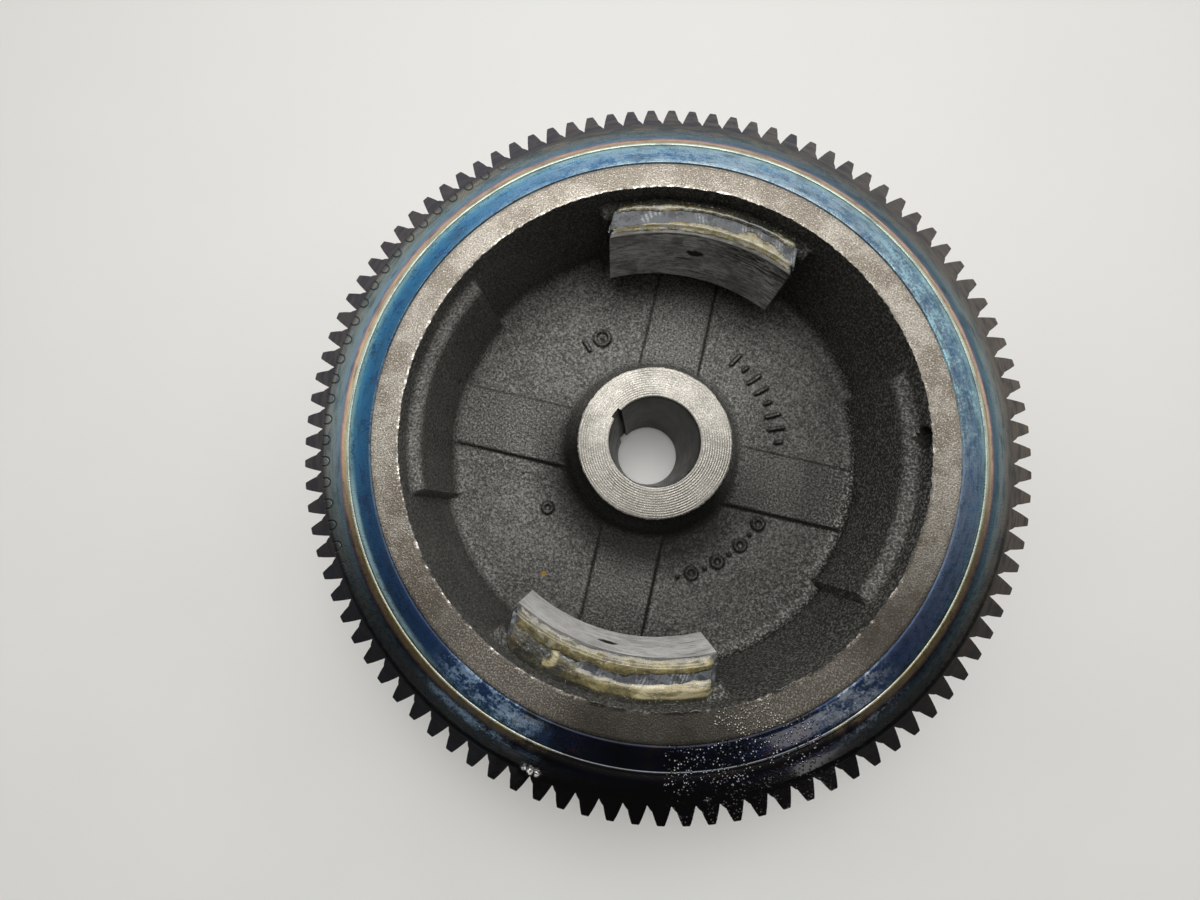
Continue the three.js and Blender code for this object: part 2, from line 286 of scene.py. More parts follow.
class Shader:
    """A node material under construction, with short calls for the nodes it uses."""

    def __init__(self, name):
        self.material = bpy.data.materials.new(name)
        self.material.use_nodes = True
        self.tree = self.material.node_tree
        self.surface = self.tree.nodes["Principled BSDF"]
        self.base = None
        self.normal = None
        local = Field(self, self.node("TexCoord").outputs["Object"])
        self.place = self.vector("MULTIPLY", local, (1 / MM,) * 3)
        self.x, self.y, self.z = self.split(self.place)

    def put(self, socket, value):
        if isinstance(value, Field):
            self.tree.links.new(value.socket, socket)
            return
        if socket.type == "RGBA":
            value = (*value, 1.0)
        socket.default_value = value

    def node(self, kind, values=(), **settings):
        """New node with those settings, and those values in its first sockets."""
        made = self.tree.nodes.new("ShaderNode" + kind)
        for name, setting in settings.items():
            setattr(made, name, setting)
        for socket, value in zip(made.inputs, values):
            self.put(socket, value)
        return made

    def math(self, operation, *values):
        return Field(self, self.node("Math", values, operation=operation).outputs[0])

    def vector(self, operation, a, b=(0, 0, 0)):
        made = self.node("VectorMath", (a,), operation=operation)
        self.put(made.inputs["Scale" if operation == "SCALE" else 1], b)
        single = operation in ("LENGTH", "DOT_PRODUCT")
        return Field(self, made.outputs["Value" if single else "Vector"])

    def split(self, value):
        return [Field(self, part) for part in self.node("SeparateXYZ", (value,)).outputs]

    def join(self, x, y, z):
        return Field(self, self.node("CombineXYZ", (x, y, z)).outputs[0])

    def noise(self, cell, detail=2.0, rough=0.5, place=None):
        """Noise from 0 to 1 whose features are about cell millimetres across."""
        made = self.node("TexNoise", (place or self.place,))
        made.inputs["Scale"].default_value = 1 / cell
        made.inputs["Detail"].default_value = detail
        made.inputs["Roughness"].default_value = rough
        return Field(self, made.outputs["Fac"])

    def cells(self, cell):
        """Distance to the middle of the nearest of many cells."""
        made = self.node("TexVoronoi", (self.place,))
        made.inputs["Scale"].default_value = 1 / cell
        return Field(self, made.outputs["Distance"])

    def step(self, low, high, value, to_low=0.0, to_high=1.0):
        """Smooth change from to_low to to_high as value goes from low to high."""
        given = (value, low, high, to_low, to_high)
        made = self.node("MapRange", given, interpolation_type="SMOOTHSTEP")
        return Field(self, made.outputs["Result"])

    def mix(self, amount, a, b, blend="MIX"):
        """Colour between a and b."""
        made = self.node("Mix", (amount,), data_type="RGBA", blend_type=blend)
        for socket, value in zip([s for s in made.inputs if s.type == "RGBA"], (a, b)):
            self.put(socket, value)
        return Field(self, [s for s in made.outputs if s.type == "RGBA"][0])

    def paint(self, amount, colour, blend="MIX"):
        """Lays a colour over the base colour."""
        self.base = self.mix(amount, self.base, colour, blend)

    def shade(self, value, low, high, most, colour):
        """Lays a colour over the base, from nothing to most of it as value goes from low to
        high."""
        self.paint(self.step(low, high, value, 0.0, most), colour)

    def ramp(self, value, stops):
        """Colour ramp over value, with stops as (position, colour)."""
        made = self.node("ValToRGB", (value,))
        elements = made.color_ramp.elements
        while len(elements) < len(stops):
            elements.new(0.5)
        for element, (position, colour) in zip(elements, stops):
            element.position = position
            element.color = (*colour, 1.0)
        return Field(self, made.outputs["Color"])

    def bump(self, height, distance, under=None):
        """Bump of a height field from 0 to 1 that stands distance millimetres high."""
        made = self.node("Bump")
        made.inputs["Distance"].default_value = distance * MM
        self.put(made.inputs["Height"], height)
        if under is not None:
            self.put(made.inputs["Normal"], under)
        return Field(self, made.outputs["Normal"])

    def emboss(self, height, distance):
        """Lays a bump over the bumps that are already there."""
        self.normal = self.bump(height, distance, self.normal)

    @functools.cached_property
    def radius(self):
        """Distance from the crankshaft axis."""
        return self.vector("LENGTH", self.join(self.x, self.y, 0.0))

    @functools.cached_property
    def outwards(self):
        """Unit vector away from the crankshaft axis."""
        return self.vector("NORMALIZE", self.join(self.x, self.y, 0.0))

    def around(self, stretch, radius=95.0, third=None):
        """Place for a noise whose features are drawn out along the circumference."""
        x, y, _ = self.split(self.vector("SCALE", self.outwards, radius / stretch))
        return self.join(x, y, third or self.radius)

    def towards(self, degrees):
        """1 in that direction of the layout from the crankshaft axis, -1 opposite to it."""
        a = math.radians(LAYOUT_TURN + degrees)
        return self.vector("DOT_PRODUCT", self.outwards, (math.cos(a), math.sin(a), 0.0))

    def distance(self, place):
        return self.vector("LENGTH", self.vector("SUBTRACT", self.place, place))

    def attribute(self, name):
        return Field(self, self.node("Attribute", attribute_name=name).outputs["Fac"])

    def done(self, metallic, roughness, **others):
        """The material, with its layers and any other Principled sockets by name, with
        underscores for spaces."""
        self.put(self.surface.inputs["Base Color"], self.base)
        if self.normal is not None:
            self.put(self.surface.inputs["Normal"], self.normal)
        for name, value in dict(Metallic=metallic, Roughness=roughness, **others).items():
            self.put(self.surface.inputs[name.replace("_", " ")], value)
        return self.material


# ---------------------------------------------------------------- materials

# A drop of epoxy, and a pit on the cup floor painted black as shade: place, size and colour.
STAINS = (
    ((-29.7, -57.0, WEB_Z), 1.4, (0.34, 0.21, 0.03)),
    ((-47.4, -21.1, WEB_Z), 1.1, (0.010, 0.010, 0.010)),
)


def sand_cast():
    """Grey iron as it comes out of a sand mould: granular, with painted shade in corners and shadows.
    """
    s = Shader("sand_cast_iron")
    grain = s.noise(0.80, 3, 0.60)
    patches = s.noise(15, 3)
    s.base = s.mix(s.step(0.35, 0.65, patches), (0.175, 0.172, 0.160), (0.225, 0.221, 0.205))
    s.shade(grain, 0.52, 0.35, 0.78, (0.045, 0.045, 0.043))
    s.shade(grain, 0.52, 0.66, 0.80, (0.40, 0.395, 0.37))
    s.shade(s.noise(0.50), 0.64, 0.74, 0.5, (0.60, 0.59, 0.55))
    # Painted shade, kept on the casting's points: darker in corners, in shadows and away from the
    # light.
    painted_shade = s.attribute("painted_shade")
    s.paint(painted_shade, (0.035, 0.035, 0.035), "MULTIPLY")
    # Light grain flecks on the cup wall where the painted shade is middling.
    half_shaded_wall = s.step(67.0, 73.0, s.radius) * s.step(0.35, 0.75, painted_shade) * s.step(0.92, 0.80, painted_shade)
    s.paint(s.step(0.51, 0.62, grain) * half_shaded_wall * 0.95, (0.27, 0.265, 0.245))
    for place, size, colour in STAINS:
        ragged = patches * (0.6 * size) + s.distance(place)
        s.shade(ragged, 1.2 * size, 0.7 * size, 0.8, colour)
    s.emboss(s.noise(2.2), 0.22)
    s.emboss(grain, 0.42)
    return s.done(0.6, s.step(0.40, 0.70, grain, 0.66, 0.46))


def droplets(s, degrees, least):
    """1 on small beads of oil that lie in clusters towards a direction."""
    clusters = s.step(least, least + 0.013, s.towards(degrees)) * s.noise(3.2, 3)
    return s.step(0.40, 0.12, s.cells(0.9)) * s.step(0.43, 0.52, clusters)


def faced_iron():
    """Rim face: cut flat and left grainy, warm grey with brown staining, and painted shade and
    highlights.
    """
    s = Shader("faced_iron")
    grain = s.noise(0.52, 3, 0.6)
    stain = s.noise(2.6, 3) * 0.40 + s.noise(14, 3)
    s.base = s.mix(s.step(0.56, 0.82, stain), (0.405, 0.372, 0.322), (0.222, 0.192, 0.156))
    s.shade(grain, 0.54, 0.37, 0.62, (0.105, 0.095, 0.080))
    s.shade(grain, 0.55, 0.68, 0.74, (0.74, 0.70, 0.63))
    # Painted shade: darker towards the bottom of the layout.
    s.paint(s.step(0.25, 1.0, s.towards(275)) * 0.74, (0.072, 0.064, 0.052))
    # Painted shade: darker towards the top of the layout.
    s.shade(s.towards(105), -0.1, 0.9, 0.32, (0.155, 0.142, 0.124))
    # Painted highlights: two grainy sheen patches towards the lower left and lower right.
    for degrees in (238, 297):
        painted_sheen = s.step(0.955, 0.998, s.towards(degrees)) * s.step(0.46, 0.70, grain, 0.12, 0.8)
        s.paint(painted_sheen, (0.72, 0.66, 0.57))
    # Burrs along the inner edge painted white as highlights, brightest towards the upper left.
    chips = s.step(CUP_R + 1.0, CUP_R + 0.3, s.radius) * s.step(0.50, 0.60, s.noise(1.1))
    s.paint(chips * s.step(-0.2, 0.5, s.towards(150), 0.0, 0.75), (0.93, 0.91, 0.87))
    drop = droplets(s, 285, 0.984)
    # Oil droplets, painted white as glints.
    s.paint(s.step(0.2, 0.9, drop), (0.92, 0.91, 0.88))
    s.emboss(grain, 0.11)
    s.emboss(drop, 0.4)
    return s.done(1.0, s.step(0.3, 0.7, grain, 0.40, 0.28))


def turned_iron():
    """Faces cut in a lathe: fine concentric grooves that glint."""
    s = Shader("turned_iron")
    grain = s.noise(0.34, 2, 0.6)
    wavy_radius = s.noise(12, 1) * 0.4 + s.radius
    wave = s.math("SINE", wavy_radius * (2 * math.pi / GROOVE_PITCH))
    groove = (wave * 0.5 + 0.5) * s.step(0.38, 0.60, s.noise(16, 1), 0.30, 1.0)
    s.base = s.mix(s.step(0.35, 0.65, s.noise(5, 3)), (0.345, 0.328, 0.295), (0.285, 0.270, 0.242))
    s.paint(groove * 0.55, (0.10, 0.095, 0.084))
    # Painted shade: darker towards the lower right of the layout.
    s.shade(s.towards(290), -0.1, 1.0, 0.30, (0.15, 0.143, 0.13))
    s.shade(grain, 0.55, 0.38, 0.5, (0.11, 0.105, 0.095))
    s.shade(grain, 0.60, 0.76, 0.6, (0.60, 0.58, 0.53))
    s.emboss(groove, 0.06)
    s.emboss(grain, 0.07)
    return s.done(1.0, s.step(0.3, 0.7, grain, 0.42, 0.30))


def rings_along(s, cell):
    """Fine rings that follow one another along the crankshaft axis."""
    return s.noise(cell, place=s.join(0.0, 0.0, s.z))


def bored_iron():
    """Reamed taper of the bore: dark, smooth, faint rings along its length; darker still as painted
    shade.
    """
    s = Shader("bored_iron")
    smear = s.noise(4, 3)
    # Painted shade: colours kept near black for the shade inside the bore and the key slot.
    s.base = s.mix(s.step(0.35, 0.65, smear), (0.022, 0.021, 0.020), (0.050, 0.048, 0.044))
    s.emboss(rings_along(s, 0.5), 0.02)
    return s.done(0.9, s.step(0.3, 0.7, smear, 0.34, 0.48))


def skimmed_iron():
    """Outside of the rim: skimmed in a lathe, greyer, with rings and a thin oil stain."""
    s = Shader("skimmed_iron")
    rings = rings_along(s, 0.45)
    grain = s.noise(0.5, 3)
    stain = s.noise(16, 4, 0.6)
    s.base = s.mix(s.step(0.34, 0.74, stain), (0.45, 0.435, 0.40), (0.335, 0.315, 0.28))
    s.shade(rings, 0.55, 0.38, 0.35, (0.20, 0.19, 0.175))
    s.shade(grain, 0.58, 0.42, 0.3, (0.18, 0.172, 0.16))
    s.emboss(rings, 0.035)
    s.emboss(grain, 0.05)
    return s.done(1.0, s.step(0.35, 0.65, stain, 0.36, 0.5))


GEAR_STOPS = (
    # radius in millimetres and colour there: oxide, painted shade in the groove, painted highlight on
    # the crest
    (91.8, (0.20, 0.27, 0.32)),
    (92.3, (0.020, 0.060, 0.105)),
    (93.4, (0.024, 0.092, 0.180)),
    (95.4, (0.026, 0.108, 0.215)),
    (96.8, (0.045, 0.150, 0.250)),
    (97.6, (0.110, 0.255, 0.310)),
    (98.2, (0.190, 0.310, 0.320)),
    # dark line in the groove: painted shade
    (98.6, (0.095, 0.130, 0.130)),
    # pale line on the crest: painted highlight over the oxide
    (98.95, (0.35, 0.41, 0.37)),
    (99.3, (0.52, 0.53, 0.42)),
    (99.7, (0.50, 0.48, 0.35)),
    (100.2, (0.66, 0.52, 0.33)),
    (100.9, (0.64, 0.43, 0.26)),
    (101.4, (0.46, 0.29, 0.22)),
    (101.9, (0.21, 0.175, 0.23)),
    (102.5, (0.115, 0.190, 0.265)),
    (103.3, (0.105, 0.180, 0.220)),
    (104.4, (0.090, 0.140, 0.148)),
    (105.5, (0.088, 0.104, 0.098)),
    (105.9, (0.050, 0.058, 0.055)),
    (106.2, (0.090, 0.105, 0.095)),
    (107.4, (0.085, 0.095, 0.088)),
    (107.9, (0.050, 0.050, 0.052)),
    (113.6, (0.068, 0.064, 0.070)),
)

# Large beads of oil on the ring, with painted glints: angle in the layout, radius on the ring, size.
BEADS = ((247.4, 107.1, 1.3), (248.4, 107.4, 1.6), (249.5, 107.2, 1.5), (276.0, 107.6, 1.0))


def cutter_marks(s):
    """1 on the curved line that the gear cutter left below each gap, on part of the ring."""
    pitch = 2 * math.pi / TEETH
    first_gap = math.radians(FIRST_TOOTH + 180 / TEETH)
    share = s.math("FRACT", (s.math("ARCTAN2", s.y, s.x) - first_gap) / pitch)
    across = (share - 0.5) * (pitch * 106.5)
    inwards = s.math("MINIMUM", s.radius - 106.9, 0.0)
    spread = s.vector("LENGTH", s.join(across, inwards, 0.0))
    line = s.step(0.34, 0.12, s.math("ABSOLUTE", spread - 1.45))
    return line * s.step(0.72, 0.80, s.towards(160.7)) * s.step(108.3, 107.6, s.radius)


def ring_tints(s, fine):
    """Colours that run with the radius along an uneven line: oxide, with painted shade and highlight at
    the groove.
    """
    inner, outer = GEAR_STOPS[0][0], GEAR_STOPS[-1][0]
    wander = (s.noise(13, 3, 0.55) - 0.5) * (s.step(98.8, 99.6, s.radius) * 0.7 + 0.1)
    share = (s.radius + ((fine - 0.5) * 0.35 + wander) - inner) / (outer - inner)
    return s.ramp(share, [((r - inner) / (outer - inner), colour) for r, colour in GEAR_STOPS])


def tint_land(s, flat):
    """The ring's raised land: saturated blue on one side, paler and greyer on the other."""
    on_land = s.step(98.6, 97.8, s.radius)
    pale_side = s.step(-0.35, 0.95, s.towards(36.7))
    pale = pale_side * s.step(0.30, 0.62, flat, 0.30, 1.0)
    s.paint(pale * on_land * 0.72, (0.235, 0.290, 0.318))
    cyan = s.step(0.51, 0.61, flat) * s.step(0.80, 0.94, s.towards(10.7))
    s.paint(cyan * on_land * 0.80, (0.24, 0.43, 0.50))
    slate = s.step(0.86, 0.97, s.towards(-27.3)) * s.step(0.40, 0.56, flat, 0.35, 0.85)
    s.paint(slate * on_land, (0.105, 0.128, 0.195))
    deep = s.step(0.47, 0.33, flat, 0.0, 0.7) * on_land
    s.paint(deep * (pale_side * -0.75 + 1.0), (0.016, 0.040, 0.110))
    # Painted shade: the land darker towards the bottom, standing in for the dark it reflects there.
    s.paint(s.step(0.0, 0.75, s.towards(262)) * on_land * 0.78, (0.020, 0.034, 0.092))
    # Painted highlight: a pale cyan streak on the land towards the lower left.
    gleam = s.step(96.4, 97.6, s.radius) * s.step(98.7, 98.3, s.radius)
    s.paint(gleam * s.step(0.925, 0.995, s.towards(207), 0.0, 0.75), (0.42, 0.62, 0.66))


def tint_face(s, flat, streaks):
    """The toothed face: teal and brown-grey streaks, lighter on the two sides, painted shade below."""
    radius = s.radius
    on_face = s.step(101.8, 103.0, radius)
    brown = s.step(0.44, 0.58, streaks, 0.0, 0.75) * s.step(102.6, 105.2, radius)
    s.paint(brown, (0.155, 0.137, 0.112))
    side_on = s.math("POWER", s.math("ABSOLUTE", s.towards(0)), 4.0)
    s.paint(side_on * on_face * s.step(107.4, 106.2, radius) * 0.42, (0.22, 0.285, 0.305))
    violet = s.step(106.8, 107.9, radius) * s.step(-0.2, 0.8, s.towards(170))
    s.paint(violet * 0.72, (0.026, 0.024, 0.036))
    right_side = s.step(0.1, 0.85, s.towards(0))
    s.paint(s.step(103.6, 107.0, radius) * (right_side * 0.60 + 0.15), (0.120, 0.104, 0.090))
    inky = s.step(101.4, 102.2, radius) * s.step(104.4, 102.9, radius)
    s.paint(inky * right_side * 0.62, (0.028, 0.066, 0.092))
    # Painted shade: the toothed face darker towards the top of the layout.
    s.paint(s.step(0.35, 1.0, s.towards(76.7)) * on_face * 0.5, (0.040, 0.040, 0.048))
    # Painted shade: the slope inside the toothed face nearly black towards the bottom.
    painted_shade_below = s.step(0.10, 0.75, s.towards(262)) * s.step(100.9, 102.2, radius)
    s.paint(painted_shade_below * 0.86, (0.017, 0.017, 0.019))
    # Painted highlights: pale blue patches towards the lower left and lower right.
    for degrees, tint in ((237, (0.26, 0.38, 0.52)), (301, (0.30, 0.34, 0.40))):
        highlight_patch = s.step(0.972, 0.998, s.towards(degrees)) * s.step(0.42, 0.62, flat)
        s.paint(highlight_patch * s.step(105.0, 102.0, radius), tint)


def spill_oil(s):
    """Lays a dark oil film with a ragged edge over the ring, and returns where it is."""
    oil = s.step(0.955, 1.02, s.noise(6, 4, 0.6) * 0.20 + s.towards(272.7))
    film = s.ramp(s.noise(4.0, 4, 0.6, s.around(3.0)), (
        (0.40, (0.004, 0.005, 0.008)),
        (0.52, (0.007, 0.012, 0.036)),
        (0.60, (0.022, 0.014, 0.034)),
        (0.70, (0.040, 0.028, 0.016)),
    ))
    film = s.mix(s.step(102.0, 105.5, s.radius), film, (0.008, 0.007, 0.007))
    s.paint(oil * 0.93, film)
    return oil


def large_beads(s):
    """1 on the few large beads of oil."""
    bead = 0.0
    for degrees, bead_r, size in BEADS:
        a = math.radians(LAYOUT_TURN + degrees)
        away = s.distance((bead_r * math.cos(a), bead_r * math.sin(a), RIM_Z - 1.0))
        ragged = s.noise(1.4) * 1.2 + away
        bead = s.math("MAXIMUM", bead, s.step(size + 1.2, size - 0.9, ragged))
    return bead


def tempered_steel():
    """Ring gear: heat tints run with the radius, over fine turning lines, with an oil spill."""
    s = Shader("tempered_steel")
    fine = s.noise(1.6, 3, 0.6)
    s.base = ring_tints(s, fine)
    lines = s.noise(0.30, place=s.around(24.0))
    streaks = s.noise(1.3, 4, 0.65, s.around(6.0))
    flat = (s.noise(0.75) - 0.5) * 0.5 + s.noise(3.0, 5, 0.68, s.around(2.5))
    tint_land(s, flat)
    tint_face(s, flat, streaks)
    s.shade(streaks, 0.50, 0.34, 0.45, (0.03, 0.04, 0.05))
    s.shade(lines, 0.48, 0.30, 0.4, (0.03, 0.04, 0.05))
    # Towards the bottom the pale painted highlight on the crest gives way to gold.
    golden = s.step(98.6, 98.9, s.radius) * s.step(101.6, 100.2, s.radius)
    s.paint(golden * s.step(-0.1, 0.7, s.towards(268), 0.0, 0.75), (0.42, 0.32, 0.15))
    marks = cutter_marks(s)
    s.paint(marks * 0.8, (0.02, 0.025, 0.022))
    oil = spill_oil(s)

    # Droplets in clusters round the spill, and a few large beads, painted white as glints.
    drop = droplets(s, 283, 0.962) * s.step(107.0, 102.0, s.radius, 0.25, 1.0)
    bead = large_beads(s)
    # Painted highlights: white glints on the large beads and the droplets.
    painted_glint = s.step(0.35, 0.85, bead) * s.step(0.40, 0.52, s.noise(0.9))
    painted_glint = s.math("MAXIMUM", painted_glint, s.step(0.35, 0.95, drop, 0.0, 0.7))
    s.paint(painted_glint, (0.88, 0.88, 0.86))
    s.emboss(lines, 0.022)
    s.emboss(s.noise(0.5, 3), 0.05)
    s.emboss(1.0 - marks, 0.12)
    s.emboss(bead, 1.0)
    s.emboss(drop, 0.55)
    rough = s.step(106.8, 108.2, s.radius) * 0.16 + s.step(0.3, 0.7, fine, 0.26, 0.38)
    return s.done(
        1.0 - painted_glint, rough * (oil * -0.6 + 1.0),
        Coat_Weight=s.math("MAXIMUM", oil * 0.9, s.math("MAXIMUM", drop, bead)),
        Coat_Roughness=0.06, Coat_Normal=s.bump(drop, 0.55, s.bump(bead, 1.0)),
    )


def tooth_steel():
    """Flanks, tips and underside of the ring gear: cut steel, dull grey-brown oxide."""
    s = Shader("tooth_steel")
    grain = s.noise(0.7, 3)
    s.base = s.mix(s.step(0.35, 0.65, s.noise(6, 3)), (0.060, 0.056, 0.058), (0.11, 0.10, 0.098))
    s.shade(grain, 0.58, 0.70, 0.5, (0.22, 0.21, 0.20))
    s.emboss(grain, 0.05)
    return s.done(0.9, s.step(0.3, 0.7, grain, 0.42, 0.56))


def ferrite():
    """Ground ferrite: blue-grey, with curved grinding marks across the top."""
    s = Shader("ferrite")
    from_middle = s.vector("LENGTH", s.join(s.x + 34.0, s.y * 0.35, 0.0))
    arcs = s.math("SINE", from_middle * (2 * math.pi / GRINDING_PITCH)) * 0.5 + 0.5
    marks = arcs * s.step(0.50, 0.66, s.noise(6, 3))
    smear = s.noise(4, 4, 0.6)
    grain = s.noise(0.6, 3)
    s.base = s.mix(s.step(0.35, 0.65, smear), (0.060, 0.066, 0.076), (0.125, 0.133, 0.145))
    s.paint(marks * 0.7, (0.42, 0.44, 0.45))
    s.shade(s.noise(3.4, 4, 0.65), 0.51, 0.60, 0.8, (0.022, 0.023, 0.024))
    s.shade(grain, 0.56, 0.70, 0.7, (0.030, 0.032, 0.036))
    s.emboss(marks, 0.04)
    s.emboss(grain, 0.10)
    return s.done(0.15, s.step(0.35, 0.65, smear, 0.34, 0.55))


def plate_steel():
    """Pole plate: rolled steel, brushed lengthwise, with scuffs and a dark spot. The plate on
    +Y is the grimy one."""
    s = Shader("plate_steel")

    def brushed(cell, detail, rough, stretch):
        return s.noise(cell, detail, rough, s.around(stretch, 70.0, s.radius + s.z))

    brush = brushed(0.50, 4, 0.65, 9.0)
    crack = brushed(1.6, 4, 0.7, 7.0)
    smudge = s.noise(9, 4, 0.65)
    grime = s.step(-20, 20, s.y)
    clean = s.mix(s.step(0.36, 0.70, smudge), (0.90, 0.885, 0.87), (0.62, 0.61, 0.60))
    soiled = s.mix(s.step(0.42, 0.58, smudge), (0.95, 0.93, 0.92), (0.50, 0.49, 0.485))
    s.base = s.mix(grime, clean, soiled)
    s.paint(s.step(0.53, 0.41, brush) * (grime * 0.11 + 0.38), (0.08, 0.078, 0.072))
    smoked = s.step(-6.0, 16.0, s.x) * grime * s.step(0.60, 0.46, crack)
    top_part = s.step(PLATE_TOP_Z - 16.0, PLATE_TOP_Z - 4.0, s.z, 0.35, 1.0)
    s.paint(smoked * top_part, (0.050, 0.047, 0.043))
    s.paint(s.step(0.575, 0.62, crack) * (grime * 0.35 + 0.45), (0.045, 0.042, 0.038))
    s.shade(brush, 0.53, 0.63, 0.5, (0.92, 0.91, 0.88))
    s.shade(brushed(5.0, 4, 0.6, 3.0), 0.50, 0.66, 0.26, (0.22, 0.215, 0.205))
    spot = s.vector("LENGTH", s.join((s.x + 1.0) * 0.62, 0.0, s.z - (PLATE_TOP_Z - 10.5)))
    s.paint(s.step(3.4, 2.4, s.noise(1.5) * 2.0 + spot), (0.012, 0.012, 0.012))
    # Painted shade: a dark line along the plate's top edge, where it meets the glue.
    s.shade(s.z, PLATE_TOP_Z - 0.75, PLATE_TOP_Z - 0.15, 0.88, (0.035, 0.032, 0.026))
    s.emboss(brush, 0.10)
    s.emboss(brushed(2.4, 3, 0.5, 3.0), 0.30)
    return s.done(0.22, s.step(0.35, 0.65, smudge, 0.40, 0.55))


def adhesive():
    """Cured epoxy: nearly clear where thin, olive where thicker, cream where it is thickest."""
    s = Shader("cured_epoxy")
    cloud = s.noise(3.6, 4, 0.6)
    fine = s.noise(0.9, 3)
    thick = (fine - 0.5) * 0.18 + ((cloud - 0.5) * 0.9 + s.attribute("depth"))
    s.base = s.ramp(thick, (
        (0.05, (0.026, 0.026, 0.021)),
        (0.28, (0.105, 0.092, 0.040)),
        (0.48, (0.20, 0.168, 0.072)),
        (0.70, (0.34, 0.285, 0.135)),
        (0.95, (0.46, 0.405, 0.25)),
    ))
    s.shade(s.noise(5, 4, 0.65), 0.60, 0.70, 0.85, (0.10, 0.065, 0.028))
    streaks = s.noise(1.6, 4, 0.7, s.around(4.0, 74.0))
    s.shade(streaks, 0.50, 0.38, 0.6, (0.050, 0.044, 0.030))
    s.shade(s.noise(1.1, 3), 0.62, 0.72, 0.4, (0.62, 0.60, 0.50))
    cloudy = s.step(-20, 20, s.y) * s.step(0.25, 0.55, thick)
    s.paint(cloudy * s.step(0.42, 0.60, s.noise(1.8, 4, 0.7), 0.0, 0.75), (0.36, 0.355, 0.30))
    s.emboss(cloud, 0.7)
    s.emboss(streaks, 0.25)
    return s.done(
        0.0, s.step(0.35, 0.65, fine, 0.20, 0.42), Coat_Weight=0.8, Coat_Roughness=0.06,
        Subsurface_Weight=0.08, Subsurface_Radius=(0.004, 0.0025, 0.001), Subsurface_Scale=0.3,
    )


def potting():
    """Dark filled resin over the ignition magnet, with fine bubbles."""
    s = Shader("potting_resin")
    cloud = s.noise(3, 3)
    s.base = s.mix(s.step(0.35, 0.65, cloud), (0.018, 0.017, 0.016), (0.035, 0.033, 0.030))
    s.emboss(s.step(0.0, 0.35, s.cells(1.3)), 0.12)
    return s.done(0.0, s.step(0.3, 0.7, cloud, 0.35, 0.55))


def shoe_steel():
    """Pole shoes: turned with the rim, lightly rusted at the edges."""
    s = Shader("shoe_steel")
    rust = s.noise(3.5, 4, 0.65)
    s.base = s.mix(s.step(0.56, 0.72, rust), (0.42, 0.41, 0.40), (0.17, 0.095, 0.05))
    s.emboss(rings_along(s, 0.4), 0.04)
    s.emboss(s.noise(0.5, 3), 0.05)
    return s.done(0.95, s.step(0.5, 0.7, rust, 0.34, 0.7))


def screw_steel():
    """Black-oxide screws with worn edges."""
    s = Shader("screw_steel")
    wear = s.noise(0.9, 3)
    s.base = s.mix(s.step(0.55, 0.7, wear), (0.045, 0.043, 0.042), (0.20, 0.19, 0.18))
    s.emboss(wear, 0.04)
    return s.done(0.9, s.step(0.4, 0.7, wear, 0.34, 0.5))


MATERIALS = {
    make.__name__: make()
    for make in (
        sand_cast, faced_iron, turned_iron, bored_iron, skimmed_iron, tempered_steel,
        tooth_steel, ferrite, plate_steel, adhesive, potting, shoe_steel, screw_steel,
    )
}


# ---------------------------------------------------------------- profiles

def rounded_path(corners):
    """Rows of a closed profile with rounded corners.

    Each corner is (radius, height, fillet, zone of the fillet, zone of the side that
    follows, spacing along that side). Returns radii, heights and zones, row by row.
    """
    count = len(corners)
    spots = np.array([corner[:2] for corner in corners], float)
    starts, ends, arcs = [], [], []
    for i, (_, _, fillet, *_rest) in enumerate(corners):
        here = spots[i]
        back, on = spots[i - 1] - here, spots[(i + 1) % count] - here
        back, on = back / np.linalg.norm(back), on / np.linalg.norm(on)
        half = math.acos(np.clip(back @ on, -1, 1)) / 2
        reach = fillet / math.tan(half)
        starts.append(here + back * reach)
        ends.append(here + on * reach)
        middle = here + (back + on) / np.linalg.norm(back + on) * fillet / math.sin(half)
        sweep = math.pi - 2 * half
        pieces = max(2, int(math.ceil(fillet * sweep / 0.5)), int(sweep / 0.45))
        first, last = starts[-1] - middle, ends[-1] - middle
        turns = np.arange(pieces) / pieces * sweep
        sine = math.sin(sweep)
        arc = [middle + (math.sin(sweep - t) * first + math.sin(t) * last) / sine for t in turns]
        arcs.append(arc)
    rows, zones = [], []
    for i, (_, _, _, arc_zone, zone, spacing) in enumerate(corners):
        rows += arcs[i]
        zones += [arc_zone] * len(arcs[i])
        gap = starts[(i + 1) % count] - ends[i]
        pieces = max(1, round(np.linalg.norm(gap) / spacing))
        rows += [ends[i] + gap * k / pieces for k in range(pieces)]
        zones += [zone] * pieces
    rows = np.array(rows)
    return rows[:, 0], rows[:, 1], zones


